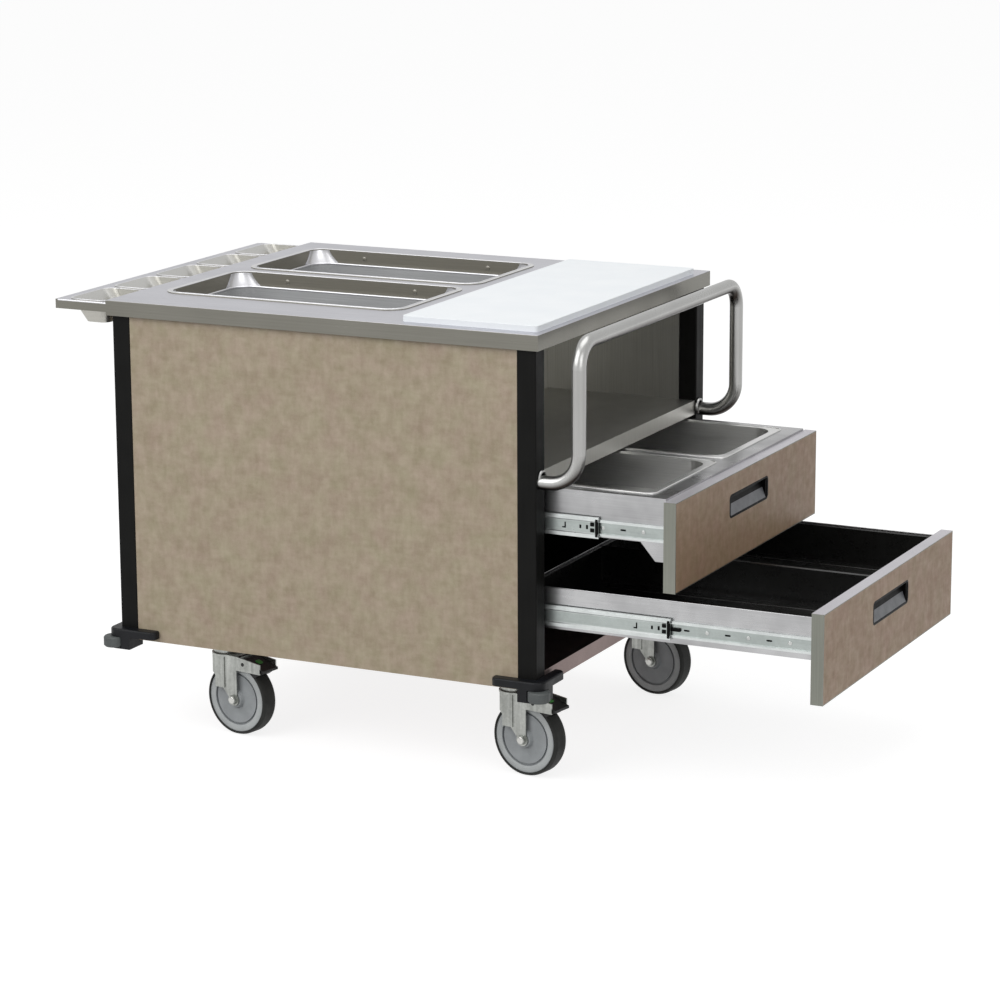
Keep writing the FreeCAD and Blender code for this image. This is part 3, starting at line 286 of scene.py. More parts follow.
@dataclass(frozen=True)
class Laminate(Finish):
    """Matt printed laminate: small soft flecks both ways over patches of an olive and a rosy cast."""

    spread: float = 0.30
    film: Film = Film.PRINT
    axis: Axis = Axis.X
    olive: str = "#a69d7c"
    rosy: str = "#ad9583"
    cast_share: float = 0.42
    fleck_mm: float = 21.0
    dash_mm: float = 8.0
    dash_run_mm: float = 27.0
    speckle_mm: float = 3.0
    patch_mm: float = 52.0
    patch_spread: float = 0.36

    def layers(self) -> tuple[Layer, ...]:
        """A fine printed speckle, round flecks, and dashes along the board and up it."""
        return (Layer(even(self.speckle_mm), share=0.12, detail=1.0),
                Layer(even(self.fleck_mm), share=0.46, detail=3.0),
                Layer(self.axis.widths(self.dash_run_mm, self.dash_mm), share=0.20),
                Layer(Axis.Z.widths(self.dash_run_mm, self.dash_mm), share=0.22))

    def tint(self, tree: Tree, place: Socket) -> tuple | None:
        """Patches of the two casts laid thinly over the print.

        Args:
            tree: the material's tree.
            place: object coordinates in metres.

        Returns:
            The casts' share, and their colour.
        """
        clouds = Layer(even(self.patch_mm), share=1.0, detail=3.0)
        patch = self.tone(tree, place, (clouds,), self.patch_spread)[0]
        cast = add(tree, "ShaderNodeMix", {0: patch, 6: linear(self.olive), 7: linear(self.rosy)},
                   data_type="RGBA")
        return self.cast_share, cast.outputs[2]


@dataclass(frozen=True)
class Coating(Finish):
    """Baked powder coat: the fine orange peel of the flowed powder and faint cleaning haze."""

    peel_mm: float = 1.6
    streak_mm: float = 9.0
    streak_run_mm: float = 120.0
    haze_mm: float = 60.0

    def layers(self) -> tuple[Layer, ...]:
        """Orange peel under a slow haze with upright wiping streaks."""
        return (Layer(even(self.peel_mm), share=0.2, detail=1.0),
                Layer(Axis.Z.widths(self.streak_run_mm, self.streak_mm), share=0.3),
                Layer(even(self.haze_mm), share=0.5))


@dataclass(frozen=True)
class Moulding(Finish):
    """Injection-moulded plastic: an even spark-eroded grain and slight flow shading."""

    grain_mm: float = 0.9
    flow_mm: float = 24.0

    def layers(self) -> tuple[Layer, ...]:
        """Grain over slow flow shading."""
        return (Layer(even(self.grain_mm), share=0.4, detail=1.0), Layer(even(self.flow_mm), share=0.6))


@dataclass(frozen=True)
class ZincPlate(Finish):
    """Bright zinc plating on pressed steel: satin, with faint drawing lines and a film of handling."""

    metallic: float = 1.0
    spread: float = 0.5
    axis: Axis = Axis.Z
    run_mm: float = 90.0
    line_mm: float = 3.0
    draw: float = 0.3
    film_mm: float = 32.0
    crystal_mm: float = 4.0
    crystal_share: float = 0.1

    def layers(self) -> tuple[Layer, ...]:
        """Drawing lines with a slow film over them and a trace of crystal patches."""
        return (Layer(self.axis.widths(self.run_mm, self.line_mm), self.draw),
                Layer(even(self.film_mm), 1.0 - self.crystal_share - self.draw, detail=3.0),
                Layer(even(self.crystal_mm), self.crystal_share, detail=0.0, cloud=Cloud.CRYSTALS))


@dataclass(frozen=True)
class SlideZinc(ZincPlate):
    """Zinc-plated slide with painted shade in a level band along its recessed ball track, between its bright
    rails.
    """

    axis: Axis = Axis.X
    level_mm: float = 0.0
    track_full_mm: float = 9.5
    track_end_mm: float = 11.5
    painted_track_shade: str = "#cfd3d1"

    def tint(self, tree: Tree, place: Socket) -> tuple | None:
        """The painted shade lies in a level band about the slide's middle line and fades out at the rails.

        Args:
            tree: the material's tree.
            place: object coordinates in metres.

        Returns:
            The painted shade's share, and its colour.
        """
        height = add(tree, "ShaderNodeSeparateXYZ", {0: place}).outputs[2]
        away = add(tree, "ShaderNodeMath", {0: height, 1: self.level_mm * MM}, operation="SUBTRACT")
        reach = add(tree, "ShaderNodeMath", {0: away.outputs[0]}, operation="ABSOLUTE").outputs[0]
        ends = {1: self.track_full_mm * MM, 2: self.track_end_mm * MM, 3: 1.0, 4: 0.0}
        return add(tree, "ShaderNodeMapRange", {0: reach, **ends}).outputs[0], linear(self.painted_track_shade)


@dataclass(frozen=True)
class CutBoard(Finish):
    """Milled polyethylene: matt white with fine knife scores crossing each other."""

    score_mm: float = 0.8
    across_mm: float = 60.0
    along_mm: float = 45.0
    milk_mm: float = 90.0

    def layers(self) -> tuple[Layer, ...]:
        """Scores two ways, drawn wider than real ones so that they show, over a faint milk cloud."""
        return (Layer(Axis.Y.widths(self.across_mm, self.score_mm), share=0.25),
                Layer(Axis.X.widths(self.along_mm, self.score_mm), share=0.25),
                Layer(even(self.milk_mm), share=0.5))


@dataclass(frozen=True)
class Rubber(Finish):
    """Moulded rubber: dull, with a dusting of floor dirt in its grain."""

    grain_mm: float = 1.4
    dust_mm: float = 28.0

    def layers(self) -> tuple[Layer, ...]:
        """Grain and dust clouds."""
        return (Layer(even(self.grain_mm), share=0.35), Layer(even(self.dust_mm), share=0.65, detail=4.0))


class Finishes:
    """Every finish of the cart, named for the real material."""

    # Brushed sheet is pale and slightly blue on top, the blue a painted reflection; its folded sides carry
    # painted shade, warm and dull.
    worktop = BrushedSteel("brushed_stainless_worktop", "#c9c9d0", "#b8b8bd", 0.33, bump_mm=0.02,
                           painted_shade="#a09e90")
    # Deep-drawn sheet keeps a duller skin than flat sheet; its walls carry warm painted shade.
    drawn = BrushedSteel("drawn_stainless", "#dadad9", "#c4c4c3", 0.40, metallic=0.6, bump_mm=0.02,
                         line_mm=2.2, painted_shade="#a5a195")
    # Rolled lips and drawn corners are stretched smooth and catch the light.
    polished = BrushedSteel("burnished_stainless", "#dcdcdf", "#cdcdd0", 0.32, roughness_swing=0.03,
                            bump_mm=0.004, line_mm=2.2)
    # Below the step the wells get a duller, paler copy of the steel: a painted reflection that makes their
    # floors pale.
    paled_lining = BrushedSteel("painted_pale_stainless", "#aeafb0", "#98999a", 0.55, metallic=0.2, bump_mm=0.01,
                          line_mm=2.2)
    # The trough pans are small, and get a brighter copy of the steel as a painted reflection, with light
    # painted shade on their walls.
    trough = BrushedSteel("bright_drawn_stainless", "#e0e0df", "#cacac9", 0.34, metallic=0.8, bump_mm=0.01,
                          line_mm=2.2, painted_shade="#d2d0c9")
    # The drawer pans are drawn thinner and are smoother; their brighter colour is painted light against the
    # shade in the drawer.
    pans = BrushedSteel("drawn_stainless_pans", "#e4e4e3", "#d0d0ce", 0.34, line_mm=2.2)
    # Folded sheet of the drawers: smooth and cloudy, with faint lines along the drawer.
    sheet = BrushedSteel("folded_stainless_sheet", "#bababb", "#929293", 0.29, bump_mm=0.008, line_mm=2.4,
                         brush_share=0.22, wiping_mm=95.0)
    # Bay lining, brushed upright, so that it shows soft upright streaks.
    lining = BrushedSteel("stainless_bay_lining", "#cccbc6", "#b4b3ad", 0.40, axis=Axis.Z)
    # The base pan is plainer, duller sheet.
    base = BrushedSteel("mill_finish_steel_base", "#897874", "#756663", 0.44)
    # Satin tube shows one soft long reflection and hardly any lines, with painted shade underneath.
    tube = SatinTube("satin_stainless_tube", "#bcbcba", "#a9a9a7", 0.29, roughness_swing=0.04,
                     bump_mm=0.01, axis=Axis.Z, line_mm=1.2)
    # Extruded edge band with a satin skin; its upright faces carry green-grey painted shade, and its pale
    # lavender top is a painted reflection.
    edging = BrushedSteel("satin_aluminium_edge_band", "#d2cfd4", "#bcbabf", 0.42, axis=Axis.Z, line_mm=1.4,
                          painted_shade="#a2a698")
    # Printed laminate, beige with brown and olive clouds; the drawer fronts are a browner sheet of it, also
    # made darker, partly as painted shade on fronts turned from the key lamp.
    laminate = Laminate("beige_printed_laminate", "#b7aa98", "#8c806c", 0.52)
    laminate_end = Laminate("beige_printed_laminate_end", "#b7aa98", "#8c806c", 0.52, axis=Axis.Y)
    laminate_front = Laminate("brown_printed_laminate_front", "#a88c74", "#806852", 0.50, axis=Axis.Y,
                              olive="#93805f", rosy="#9b7c66")
    # Black powder coat with a soft sheen on the posts, and dead matt inside the cabinet.
    post_coat = Coating("black_powder_coat", "#141413", "#0c0c0b", 0.52, specular=0.10)
    liner_coat = Coating("matt_black_liner_coat", "#121211", "#0b0b0a", 0.62, specular=0.15)
    # Nylon, ABS, polypropylene and polyamide mouldings: even, finely grained, with a low soft shine.
    bumper = Moulding("black_nylon_bumper", "#15161a", "#0c0d10", 0.42, specular=0.22)
    pedal = Moulding("black_nylon_pedal", "#191919", "#101010", 0.42, specular=0.3)
    pull = Moulding("black_abs_pull", "#0e0e0e", "#070707", 0.44, specular=0.06)
    # The pull's floor is the black pull plastic shown grey: painted light on the lit floor of the recess.
    scoop_painted_light = Moulding("painted_light_abs_scoop", "#6e7074", "#57595d", 0.40)
    tub = Moulding("black_polypropylene_tub", "#121211", "#0a0a09", 0.30)
    control = Moulding("black_abs_control", "#1c1c1d", "#121213", 0.36)
    tab = Moulding("green_nylon_tab", "#3f8f3a", "#2f752e", 0.40)
    core = Moulding("grey_polyamide_wheel_core", "#a4a8aa", "#8e9294", 0.42, grain_mm=1.2)
    rim = Moulding("pale_polyamide_rim", "#c2c6c6", "#acb0b0", 0.40, grain_mm=1.2)
    # Screen-printed ink, flat and chalky.
    print_white = Moulding("white_print", "#dcdcd8", "#c6c6c2", 0.55)
    # Zinc on the slides and casters: bright and cool; on the forks, broad random upright bands of strong
    # contrast are painted highlights and painted shade for the pressed flutes.
    slide_zinc = ZincPlate("zinc_plated_cabinet_slide", "#b6bab8", "#9ea2a0", 0.34, axis=Axis.X)
    slide_bolt = ZincPlate("zinc_plated_screw", "#c4c6c4", "#aaacaa", 0.30)
    fork_zinc = ZincPlate("zinc_plated_fork", "#b7b9b5", "#7d7f7b", 0.32, line_mm=9.0, draw=0.62)
    bolt_zinc = ZincPlate("zinc_plated_bolt", "#d2d2cf", "#b6b6b2", 0.24)
    # White polyethylene, milky and matt.
    board = CutBoard("white_polyethylene_board", "#eff2f4", "#e8ecef", 0.48, bump_mm=0.03, specular=0.3)
    # Rubber of the tyres, rollers and heating mats: dull and dusty.
    tyre = Rubber("grey_rubber_tyre", "#2d2e2c", "#1f201e", 0.68, specular=0.3)
    roller = Rubber("grey_rubber_roller", "#5c6060", "#464a4a", 0.60)
    mat = Rubber("red_silicone_mat", "#8f4a34", "#7c3d2a", 0.62)


def dress(names: Iterable[str], finish: Finish) -> None:
    """Gives CAD nodes a finish in all their material slots.

    Args:
        names: the nodes.
        finish: what they get.
    """
    made = finish.material()
    for name in names:
        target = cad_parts[name]
        if not target.material_slots:
            target.data.materials.append(made)
        for held in target.material_slots:
            held.material = made
        log.info("dressed %s in %s", name, finish.name)


@dataclass
class Shape:
    """A mesh being worked out: points in metres and faces as rows of point numbers."""

    points: np.ndarray
    faces: list[tuple[int, ...]] = field(default_factory=list)

    def repeated(self, offsets: Iterable[Iterable[float]]) -> "Shape":
        """The shape set down once at each offset, as one shape."""
        return joined([Shape(self.points + np.asarray(offset, float), self.faces) for offset in offsets])

    def spaced(self, places: Iterable[float]) -> "Shape":
        """The shape set down at places across the cart."""
        return self.repeated([(0.0, place, 0.0) for place in places])

    def piece(self, name: str, body: str, slot: str, finish: Finish, smooth: bool = True) -> bpy.types.Object:
        """Makes the shape an object that rides on a body.

        Args:
            name: the piece's name.
            body: the CAD body it moves with.
            slot: the record's material slot it belongs to; not used.
            finish: its material.
            smooth: whether its faces are shaded as one curved surface.

        Returns:
            The new object.
        """
        mesh = bpy.data.meshes.new(name)
        mesh.from_pydata(self.points.tolist(), [], self.faces)
        work = bmesh.new()
        work.from_mesh(mesh)
        bmesh.ops.remove_doubles(work, verts=work.verts, dist=MERGE_REACH)
        bmesh.ops.recalc_face_normals(work, faces=work.faces)
        work.to_mesh(mesh)
        work.free()
        if smooth:
            mesh.shade_smooth()
            mesh.set_sharp_from_angle(angle=SMOOTH_ANGLE)
        mesh.materials.append(finish.material())
        made = bpy.data.objects.new(name, mesh)
        bpy.context.scene.collection.objects.link(made)
        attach(made, body)
        log.info("built %s: %d points on %s", name, len(mesh.vertices), body)
        return made


def joined(shapes: list[Shape]) -> Shape:
    """Several shapes as one.

    Args:
        shapes: the shapes in order.

    Returns:
        One shape with all their points and faces.
    """
    starts = np.cumsum([0] + [len(shape.points) for shape in shapes]).tolist()
    faces = [tuple(corner + start for corner in face)
             for start, shape in zip(starts, shapes) for face in shape.faces]
    return Shape(np.vstack([shape.points for shape in shapes]), faces)


def lattice(points: np.ndarray, wrap_rows: bool = False, wrap_columns: bool = False,
            capped: bool = False) -> Shape:
    """Four-sided faces over a grid of points.

    Args:
        points: rows by columns by three.
        wrap_rows: whether the last row joins the first.
        wrap_columns: whether the last column joins the first.
        capped: whether the first and last rows are closed by one face each.

    Returns:
        The surface.
    """
    rows, columns = points.shape[:2]
    number = np.arange(rows * columns).reshape(rows, columns)
    quads = np.stack([number, np.roll(number, -1, 1), np.roll(np.roll(number, -1, 0), -1, 1),
                      np.roll(number, -1, 0)], axis=-1)
    quads = quads[:rows if wrap_rows else rows - 1, :columns if wrap_columns else columns - 1]
    faces = [tuple(face) for face in quads.reshape(-1, 4).tolist()]
    if capped:
        faces += [tuple(number[0].tolist()), tuple(number[-1].tolist())]
    return Shape(points.reshape(-1, 3), faces)


def turned(profile: np.ndarray, centre: Iterable[float], axis: Iterable[float], count: int = 32,
           loop: bool = False) -> Shape:
    """Surface of revolution: each profile point goes round the axis on a circle of its radius.

    Args:
        profile: rows of radius and place along the axis, in metres.
        centre: the axis's origin.
        axis: its direction.
        count: points round each circle.
        loop: whether the profile's last point joins its first, as in a ring.

    Returns:
        The surface, closed at both ends unless the profile is a loop.
    """
    along = np.asarray(axis, float)
    along = along / np.linalg.norm(along)
    nearly_upright = abs(along[2]) > 0.9
    helper = (1.0, 0.0, 0.0) if nearly_upright else UP
    first = np.cross(along, helper)
    first = first / np.linalg.norm(first)
    second = np.cross(along, first)
    angle = np.linspace(0.0, 2.0 * math.pi, count, endpoint=False)
    ring = np.cos(angle)[:, None] * first + np.sin(angle)[:, None] * second
    points = (np.asarray(centre, float) + profile[:, 1, None, None] * along
              + profile[:, 0, None, None] * ring[None])
    return lattice(points, wrap_rows=loop, wrap_columns=True, capped=not loop)


def carried(profile: np.ndarray, path: np.ndarray, up: Iterable[float], closed: bool) -> Shape:
    """A profile carried along a path: its first coordinate points sideways from the path, its second up.

    Args:
        profile: rows of sideways and up, in metres, round a closed outline.
        path: points of the path.
        up: the direction of the profile's second coordinate.
        closed: whether the path is a loop.

    Returns:
        The solid bar, capped where the path is open.
    """
    upward = np.asarray(up, float)
    if closed:
        tangent = np.roll(path, -1, 0) - np.roll(path, 1, 0)
    else:
        tangent = np.gradient(path, axis=0)
    side = np.cross(tangent, upward)
    side = side / np.linalg.norm(side, axis=1, keepdims=True)
    points = (path[:, None, :] + side[:, None, :] * profile[None, :, 0, None]
              + upward * profile[None, :, 1, None])
    return lattice(points, wrap_rows=closed, wrap_columns=True, capped=not closed)


def round_outline(radius: float, squash: float = 1.0, count: int = 12) -> np.ndarray:
    """A circle, or an ellipse lower by the squash, as a profile."""
    angle = np.linspace(0.0, 2.0 * math.pi, count, endpoint=False)
    return np.stack([radius * np.cos(angle), radius * squash * np.sin(angle)], axis=1)


def rounded_loop(centre: Iterable[float], half_x: float, half_y: float, radius: float,
                 steps: int = 9) -> np.ndarray:
    """Level rounded rectangle: quarter circles about four corner centres, joined by straight runs.

    Args:
        centre: its middle.
        half_x: half its length.
        half_y: half its width.
        radius: of its corners.
        steps: points on each corner.

    Returns:
        The loop's points.
    """
    quarter = np.arange(4)[:, None] * math.pi / 2
    angle = quarter + np.linspace(0.0, math.pi / 2, steps)[None, :]
    middle = quarter + math.pi / 4
    across = np.sign(np.cos(middle)) * (half_x - radius) + radius * np.cos(angle)
    over = np.sign(np.sin(middle)) * (half_y - radius) + radius * np.sin(angle)
    flat = np.stack([across, over, np.zeros_like(across)], axis=-1).reshape(-1, 3)
    return flat + np.asarray(centre, float)


def rolled_edge(radius: float, squash: float, centre: Iterable[float], half: tuple[float, float],
                corner: float, steps: int = 9) -> Shape:
    """Rolled edge of a mouth: a small circle, lower by the squash, carried round a rounded rectangle.

    Args:
        radius: of the small circle.
        squash: its height as a share of its width.
        centre: of the rectangle.
        half: half the rectangle's length and width.
        corner: radius of the rectangle's corners.
        steps: points on each corner.

    Returns:
        The edge.
    """
    return carried(round_outline(radius, squash), rounded_loop(centre, *half, corner, steps), UP, closed=True)


def soft_block(centre: Iterable[float], half: Iterable[float], power: float = 0.22, rows: int = 18,
               columns: int = 32) -> Shape:
    """Rounded block: an ellipsoid whose sines and cosines are raised to a small power, which squares it up.

    Args:
        centre: its middle.
        half: half its size each way.
        power: 1 for an ellipsoid, towards 0 for a sharp box.
        rows: points from bottom to top.
        columns: points round it.

    Returns:
        The block.
    """
    def squared(wave: np.ndarray) -> np.ndarray:
        """Keeps the sign and raises the size to the power."""
        return np.sign(wave) * np.abs(wave) ** power

    pole_gap = 0.02
    pole = math.pi / 2 - pole_gap
    rise = np.linspace(-pole, pole, rows)[:, None]
    round_about = np.linspace(-math.pi, math.pi, columns, endpoint=False)[None, :]
    unit = np.stack([squared(np.cos(rise)) * squared(np.cos(round_about)),
                     squared(np.cos(rise)) * squared(np.sin(round_about)),
                     squared(np.sin(rise)) * np.ones_like(round_about)], axis=-1)
    return lattice(np.asarray(centre, float) + unit * np.asarray(half, float), wrap_columns=True, capped=True)


def head(radius: float, height: float, normal: Iterable[float], count: int = 20) -> Shape:
    """Pan head of a screw or rivet: a quarter-ellipse dome on a short straight rim, standing at the origin.

    Args:
        radius: of its rim.
        height: of its crown.
        normal: the way it faces.
        count: points round it.

    Returns:
        The head.
    """
    rim_share = 0.35
    sunk = 0.4 * MM
    crown_end = math.radians(84)
    rise = np.linspace(0.0, crown_end, 6)
    dome = np.stack([radius * np.cos(rise), height * (rim_share + (1.0 - rim_share) * np.sin(rise))], axis=1)
    return turned(np.vstack([[radius, -sunk], dome]), ORIGIN, normal, count)


@dataclass
class Worktop:
    """The top sheet with its wells, board and end trough."""

    bead: float = 2.0 * MM
    lip_squash: float = 0.6
    rivet: float = 5.0 * MM
    rivet_height: float = 2.0 * MM
    rivet_drop: float = 16.0 * MM
    rivet_places: tuple[float, float] = (-0.145, 0.155)
    well_half_length: float = 0.263
    well_half_width: float = 0.143
    well_round: float = 0.032
    well_middle_x: float = -0.3735
    well_middles_y: tuple[float, float] = (-0.1435, 0.1955)
    corner_spread: float = 54.0 * MM
    corner_flare: float = 1.4
    corner_drop: float = 2.0 * MM
    corner_foot: float = 1.0 * MM
    step: float = 9.0 * MM
    step_depth: float = 28.0 * MM
    step_bead: float = 2.6 * MM
    step_overhang: float = 0.4
    gauge: float = 1.5 * MM
    skin: float = 0.3 * MM
    lean: float = 5.0 * MM
    cove: float = 26.0 * MM
    trough_bead: float = 2.0 * MM
    trough_sink: float = 0.7
    trough_round: float = 6.0 * MM
    trough_end: float = 2.0 * MM
    pan_lip: float = 1.4 * MM
    pan_flange_outer: float = 26.0 * MM
    pan_flange_inner: float = 12.0 * MM
    pan_spacing: float = 22.0 * MM
    pan_round: float = 22.0 * MM
    pan_count: int = 5

    def build(self) -> None:
        """Dresses the sheets and adds the wells' skins, the rolled edges and the rivets."""
        dress(["worktop", "condiment_trough"], Finishes.worktop)
        dress(["well_basins"], Finishes.drawn)
        dress(["trough_pans"], Finishes.trough)
        dress(["cutting_board"], Finishes.board)
        dress(["well_heaters"], Finishes.mat)
        self.build_well_edges()
        self.build_well_corners()
        self.build_well_linings()
        self.build_step_beads()
        self.build_well_rivets()
        self.build_trough_bead()
        self.build_trough_lips()

    def in_both_wells(self, shape: Shape) -> Shape:
        """A shape made about the upright axis at the origin, set down in both wells."""
        return shape.repeated([(self.well_middle_x, across, 0.0) for across in self.well_middles_y])

    def well_half(self, inward: float) -> tuple[float, float]:
        """Half the length and width of a well's mouth, taken inward."""
        return self.well_half_length - inward, self.well_half_width - inward

    def build_well_edges(self) -> None:
        """Half-round lip round each well's mouth: a small circle carried round a rounded rectangle."""
        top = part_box("well_basins")[1].z
        half = self.well_half(-self.bead)
        lip = rolled_edge(self.bead, self.lip_squash, (0, 0, top), half, self.well_round)
        self.in_both_wells(lip).piece("well_rolled_lips", "cabinet", "stainless", Finishes.polished)

    def build_well_corners(self) -> None:
        """Drawn corners above the step: upright quarter arcs against both walls, wider towards the step."""
        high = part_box("well_basins")[1]
        turn = np.linspace(0.0, math.pi / 2, 13)
        down = np.linspace(0.0, 1.0, 9)[:, None]
        radius = self.well_round + (self.corner_spread - self.well_round) * down ** self.corner_flare
        level = high.z - self.corner_drop - (self.step_depth - self.corner_foot) * down
        half_x, half_y = self.well_half(self.skin)
        along = half_x - radius * (1 - np.cos(turn))
        over = half_y - radius * (1 - np.sin(turn))
        corners = [lattice(np.stack(np.broadcast_arrays(ahead * along, aside * over, level), axis=-1))
                   for ahead in (-1, 1) for aside in (-1, 1)]
        self.in_both_wells(joined(corners)).piece(
            "well_drawn_corners", "cabinet", "stainless", Finishes.polished)

    def build_well_linings(self) -> None:
        """Paler skin of each well from its step down, a painted reflection: rounded rectangles one below the
        other.

        They go in over the step, down the leaning wall, and in by a quarter circle to the floor.
        """
        low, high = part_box("well_basins")
        wall = np.linspace(0.0, 1.0, 8)
        turn = np.linspace(0.0, math.pi / 2, 9)[1:]
        top = high.z - self.gauge - self.step_depth + self.skin
        floor = low.z + self.gauge + self.skin
        inner_round = self.corner_spread - self.step
        curved = self.cove * (1 - np.cos(turn))
        inward = self.skin + np.concatenate([[0.0], self.step + self.lean * wall,
                                             self.step + self.lean + curved])
        level = np.concatenate([[top], top + (floor + self.cove - top) * wall,
                                floor + self.cove * (1 - np.sin(turn))])
        corner = np.concatenate([[self.corner_spread], np.full(len(wall), inner_round), inner_round - curved])
        rings = [rounded_loop((0, 0, up), *self.well_half(step), bend)
                 for step, up, bend in zip(inward, level, corner)]
        dish = lattice(np.stack(rings), wrap_columns=True)
        floor_face = tuple(range(len(dish.points) - len(rings[0]), len(dish.points)))
        lining = Shape(dish.points, dish.faces + [floor_face])
        self.in_both_wells(lining).piece("well_linings", "cabinet", "stainless", Finishes.paled_lining)

    def build_step_beads(self) -> None:
        """Rolled shoulder of each well's step: a small circle carried round the step's inner edge."""
        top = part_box("well_basins")[1].z - self.gauge - self.step_depth
        inward = self.step - self.step_bead * self.step_overhang
        corner = self.corner_spread - inward
        bead = rolled_edge(self.step_bead, 1.0, (0, 0, top), self.well_half(inward), corner)
        self.in_both_wells(bead).piece("well_step_beads", "cabinet", "stainless", Finishes.polished)

    def build_well_rivets(self) -> None:
        """Two rivet heads on each well's far wall: domes set down on the wall."""
        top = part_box("well_basins")[1].z
        places = [(shift, self.well_half_width, top - self.rivet_drop) for shift in self.rivet_places]
        rivets = head(self.rivet, self.rivet_height, (0, -1, 0)).repeated(places)
        self.in_both_wells(rivets).piece("well_rivets", "cabinet", "stainless", Finishes.drawn)

    def build_trough_bead(self) -> None:
        """Rounded top edge of the trough: a circle carried along its two ends and its outer side."""
        low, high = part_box("condiment_trough")
        inset = self.trough_bead * self.trough_sink
        corner = self.trough_round
        turn = np.linspace(0.0, math.pi / 2, 8)
        near = np.stack([low.x + inset + corner - corner * np.sin(turn),
                         low.y + inset + corner - corner * np.cos(turn)], axis=1)
        far = near[::-1] * (1, -1)
        end = high.x - self.trough_end
        flat = np.vstack([[(end, low.y + inset)], near, far, [(end, high.y - inset)]])
        path = np.column_stack([flat, np.full(len(flat), high.z - inset)])
        carried(round_outline(self.trough_bead), path, UP, closed=False).piece(
            "trough_edge_bead", "cabinet", "worktop_steel", Finishes.polished)

    def build_trough_lips(self) -> None:
        """Rounded lip of each trough pan: a small circle carried round the mouth, a rounded rectangle."""
        low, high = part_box("condiment_trough")
        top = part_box("trough_pans")[1].z
        pitch = (high.y - low.y) / self.pan_count
        half_x = (high.x - low.x - self.pan_flange_outer - self.pan_flange_inner) / 2 + self.pan_lip
        half_y = (pitch - self.pan_spacing) / 2 + self.pan_lip
        middle_x = high.x - self.pan_flange_inner - half_x + self.pan_lip
        lip = rolled_edge(self.pan_lip, self.lip_squash, (middle_x, low.y + pitch / 2, top), (half_x, half_y),
                          self.pan_round + self.pan_lip)
        lip.spaced(pitch * np.arange(self.pan_count)).piece(
            "trough_pan_lips", "cabinet", "worktop_steel", Finishes.polished)


@dataclass
class Cabinet:
    """Posts, boards, linings, plate bay, push handle and left-end controls."""

    tube: float = 14.0 * MM
    weld: float = 3.0 * MM
    weld_points: int = 28
    weld_inset: float = 19.04 * MM
    weld_rise: float = 20.1 * MM
    tick_count: int = 10
    tick_sweep: float = math.radians(135.0)
    tick_inner: float = 20.6 * MM
    tick_outer: float = 24.2 * MM
    tick_half: float = 0.6 * MM
    plate_lip: float = 6.0 * MM
    print_lift: float = 0.2 * MM

    def build(self) -> None:
        """Dresses the cabinet's own pieces and adds welds and dial marks."""
        dress(["corner_posts"], Finishes.post_coat)
        dress(["near_side_panel", "far_side_panel"], Finishes.laminate)
        dress(["left_end_panel"], Finishes.laminate_end)
        dress(["inner_side_walls"], Finishes.liner_coat)
        dress(["bay_side_walls", "bay_back_wall", "plate_shelf", "control_panel"], Finishes.lining)
        dress(["base_pan"], Finishes.base)
        dress(["push_handle"], Finishes.tube)
        dress(["thermostats", "power_inlet", "power_switch", "thermostat_knob_near", "thermostat_knob_far"],
              Finishes.control)
        self.build_handle_welds()
        self.build_dial_marks()

    def build_handle_welds(self) -> None:
        """Weld round each end of the tube: a small circle carried round the tube where it meets the post."""
        low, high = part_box("push_handle")
        angle = np.linspace(0.0, 2.0 * math.pi, self.weld_points, endpoint=False)
        ring = np.stack([np.full(self.weld_points, low.x + self.weld * 0.5), self.tube * np.cos(angle),
                         self.tube * np.sin(angle) + low.z + self.weld_rise], axis=1)
        weld = carried(round_outline(self.weld, count=8), ring, up=(1, 0, 0), closed=True)
        weld.spaced((low.y + self.weld_inset, high.y - self.weld_inset)).piece(
            "handle_welds", "cabinet", "handle_steel", Finishes.tube)

    def build_dial_marks(self) -> None:
        """Marks round each knob: short bars on rays three quarters of the way round a circle."""
        angle = np.linspace(-self.tick_sweep, self.tick_sweep, self.tick_count)
        flat = np.zeros_like(angle)
        away = np.stack([flat, np.sin(angle), np.cos(angle)], axis=1)
        across = np.stack([flat, np.cos(angle), -np.sin(angle)], axis=1) * self.tick_half
        inner = away * self.tick_inner
        outer = away * self.tick_outer
        corners = np.stack([inner - across, inner + across, outer + across, outer - across], axis=1)
        number = np.arange(self.tick_count * 4).reshape(-1, 4)
        bars = Shape(corners.reshape(-1, 3), [tuple(row) for row in number.tolist()])
        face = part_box("control_panel")[0].x + self.plate_lip - self.print_lift
        knobs = [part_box(name) for name in ("thermostat_knob_near", "thermostat_knob_far")]
        middles = [(face, (low.y + high.y) / 2, (low.z + high.z) / 2) for low, high in knobs]
        bars.repeated(middles).piece(
            "dial_marks", "cabinet", "control_plastic", Finishes.print_white, smooth=False)


@dataclass(frozen=True)
class CageWindow:
    """One window of a slide's ball cage, in millimetres.

    It gives the place behind the tip, the height off the middle line, and half the length and height.
    """

    back: float
    rise: float
    length: float
    height: float


